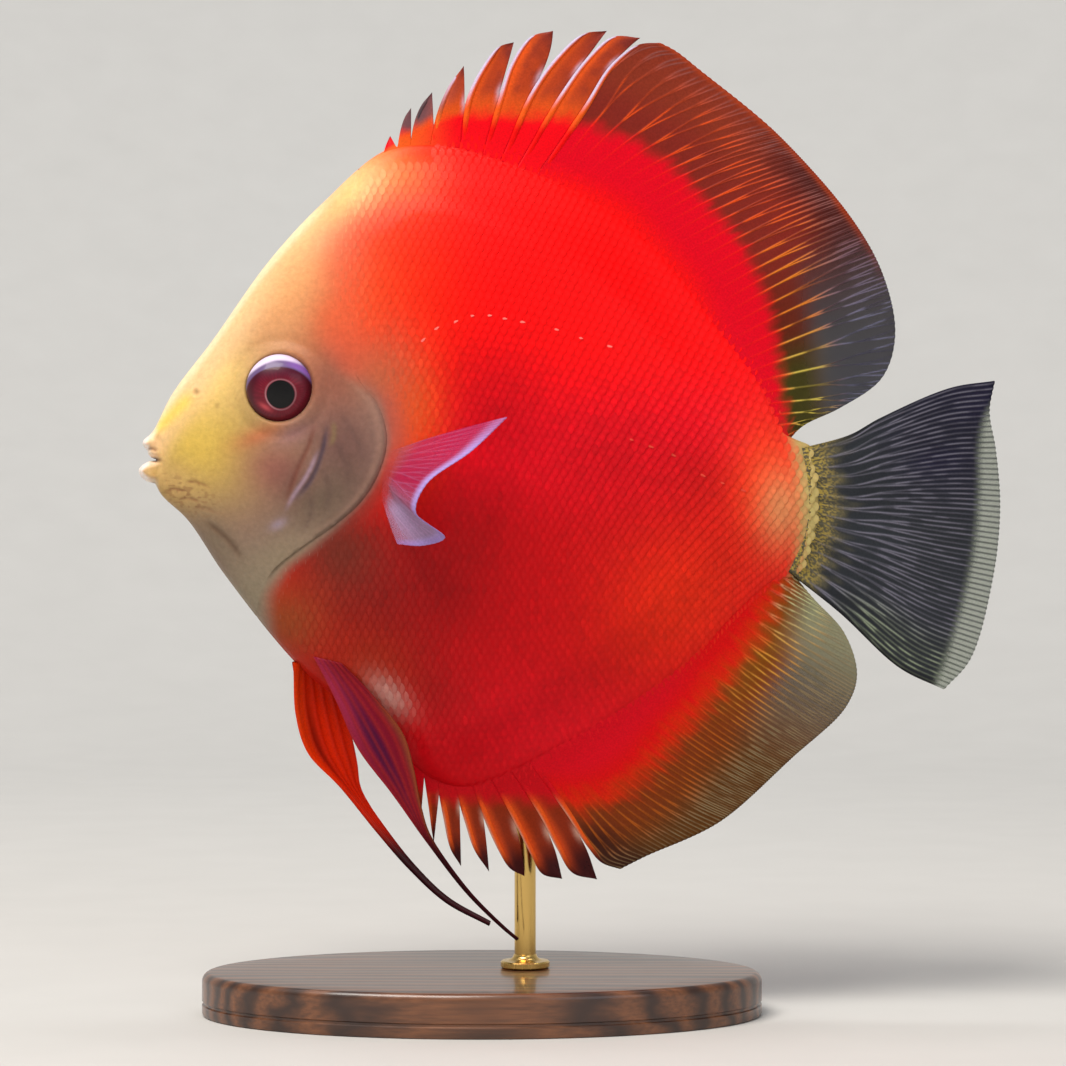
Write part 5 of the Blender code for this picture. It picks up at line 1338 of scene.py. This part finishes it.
profile += [(radius - PLINTH_ROUND * (1 - math.cos(turn)), top - PLINTH_ROUND * (1 - math.sin(turn)))
            for turn in np.linspace(0, math.pi / 2, 8)[1:]]
profile += [(radius * share, top) for share in (0.8, 0.5, 0.2)]
plinth = turned("plinth", profile, (PLINTH_MIDDLE_X, 0.0), walnut, "plinth", 200,
                PLINTH_WIDTH / PLINTH_LENGTH)
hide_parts("stand_base")

# The rod: drawn brass, polished along its length, pressed into the plinth through a turned collar.
# It enters the belly beside the anal fin.
made, tree, shader, where = new_material("polished brass rod")
brass = made
shader.inputs["Base Color"].default_value = (*linear("#D8B46A"), 1)
shader.inputs["Metallic"].default_value = 1.0
streaks = node(tree, "TexNoise", {"Vector": node(tree, "Mapping", {"Vector": where, "Scale": (4000.0, 4000.0, 90.0)}).outputs[0],
                                  "Scale": 1.0, "Detail": 3.0})
rough = node(tree, "MapRange", {"Value": streaks.outputs["Fac"], "To Min": 0.14, "To Max": 0.34})
tree.links.new(rough.outputs["Result"], shader.inputs["Roughness"])
bump = node(tree, "Bump", {"Height": streaks.outputs["Fac"], "Strength": 0.08, "Distance": 0.0001})
tree.links.new(bump.outputs["Normal"], shader.inputs["Normal"])
ROD_RADIUS = 2.0
COLLAR_RADIUS = 4.6
COLLAR_HEIGHT = 2.6
ROD_TOP = -38.0
foot = top + 0.05
profile = [(COLLAR_RADIUS - 0.3, foot), (COLLAR_RADIUS, foot + 0.3), (COLLAR_RADIUS, foot + 1.1),
           (COLLAR_RADIUS - 0.25, foot + 1.35), (COLLAR_RADIUS - 0.55, foot + 1.4)]
profile += [(ROD_RADIUS + 0.15 + 1.75 * (1 - math.sin(turn)), foot + 1.4 + 1.1 * (1 - math.cos(turn)))
            for turn in np.linspace(0, math.pi / 2, 7)]
profile += [(ROD_RADIUS, foot + COLLAR_HEIGHT), (ROD_RADIUS, ROD_TOP - 0.5), (ROD_RADIUS - 0.5, ROD_TOP)]
rod = turned("rod", profile, (ROD_X, ROD_Y), brass, "rod", 72)
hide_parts("stand_rod")

# The studio: a pale floor that sweeps up all round, and soft light from large frames.
made, tree, shader, where = new_material("pale studio paper")
paper = made
fleck = node(tree, "TexNoise", {"Vector": where, "Scale": 40.0, "Detail": 2.0})
wash = node(tree, "ValToRGB", {"Fac": fleck.outputs["Fac"]})
wash.color_ramp.elements[0].color = (*linear("#C6C5C2"), 1)
wash.color_ramp.elements[1].color = (*linear("#CCCBC8"), 1)
tree.links.new(wash.outputs["Color"], shader.inputs["Base Color"])
shader.inputs["Roughness"].default_value = 0.9
radius = np.linspace(60.0, 2400.0, 60)
profile = np.column_stack([radius, np.clip(radius - 620.0, 0, None) ** 2 / 1400.0])
studio_turn = np.linspace(0, 2 * math.pi, 96, endpoint=False)
radius, height = np.array(profile).T
points = np.stack([radius[:, None] * np.cos(studio_turn) + PLINTH_MIDDLE_X, radius[:, None] * np.sin(studio_turn),
                   height[:, None] + 0 * studio_turn + FLOOR], axis=-1).reshape(-1, 3)
one = (np.arange(len(profile) - 1)[:, None] * 96 + np.arange(96)).ravel()
after = (np.arange(len(profile) - 1)[:, None] * 96 + (np.arange(96) + 1) % 96).ravel()
quads = np.column_stack([one, one + 96, after + 96, after])
floor = new_piece("studio_floor", points, [quads, np.arange(96)[None]], paper)


def soft_light(name, position, target, size, power, colour):
    data = bpy.data.lights.new(name, "AREA")
    data.shape = "RECTANGLE"
    data.size, data.size_y = size
    data.energy = power
    data.color = linear(colour)
    lamp = bpy.data.objects.new(name, data)
    lamp.location = position
    aim = np.array(target) - np.array(position)
    yaw = math.atan2(aim[1], aim[0])
    pitch = math.atan2(math.hypot(aim[0], aim[1]), -aim[2])
    lamp.rotation_euler = (pitch, 0, yaw - math.pi / 2)
    bpy.context.scene.collection.objects.link(lamp)


MIDDLE = (0.0, 0.0, 0.1)
soft_light("key", (-0.35, -0.55, 1.0), MIDDLE, (0.7, 0.5), 15.0, "#FFF8F0")
soft_light("fill", (0.7, -1.1, 0.5), MIDDLE, (0.8, 0.8), 3.0, "#F2F5FF")
soft_light("backdrop", (0.0, 0.3, 1.5), (0.0, 2.0, 0.5), (1.6, 0.6), 13.0, "#FFFFFF")
world = bpy.data.worlds.new("studio air")
world.use_nodes = True
world.node_tree.nodes["Background"].inputs["Color"].default_value = (*linear("#F2F4F8"), 1)
world.node_tree.nodes["Background"].inputs["Strength"].default_value = 0.4
bpy.context.scene.world = world
bpy.context.scene.view_settings.view_transform = "Standard"
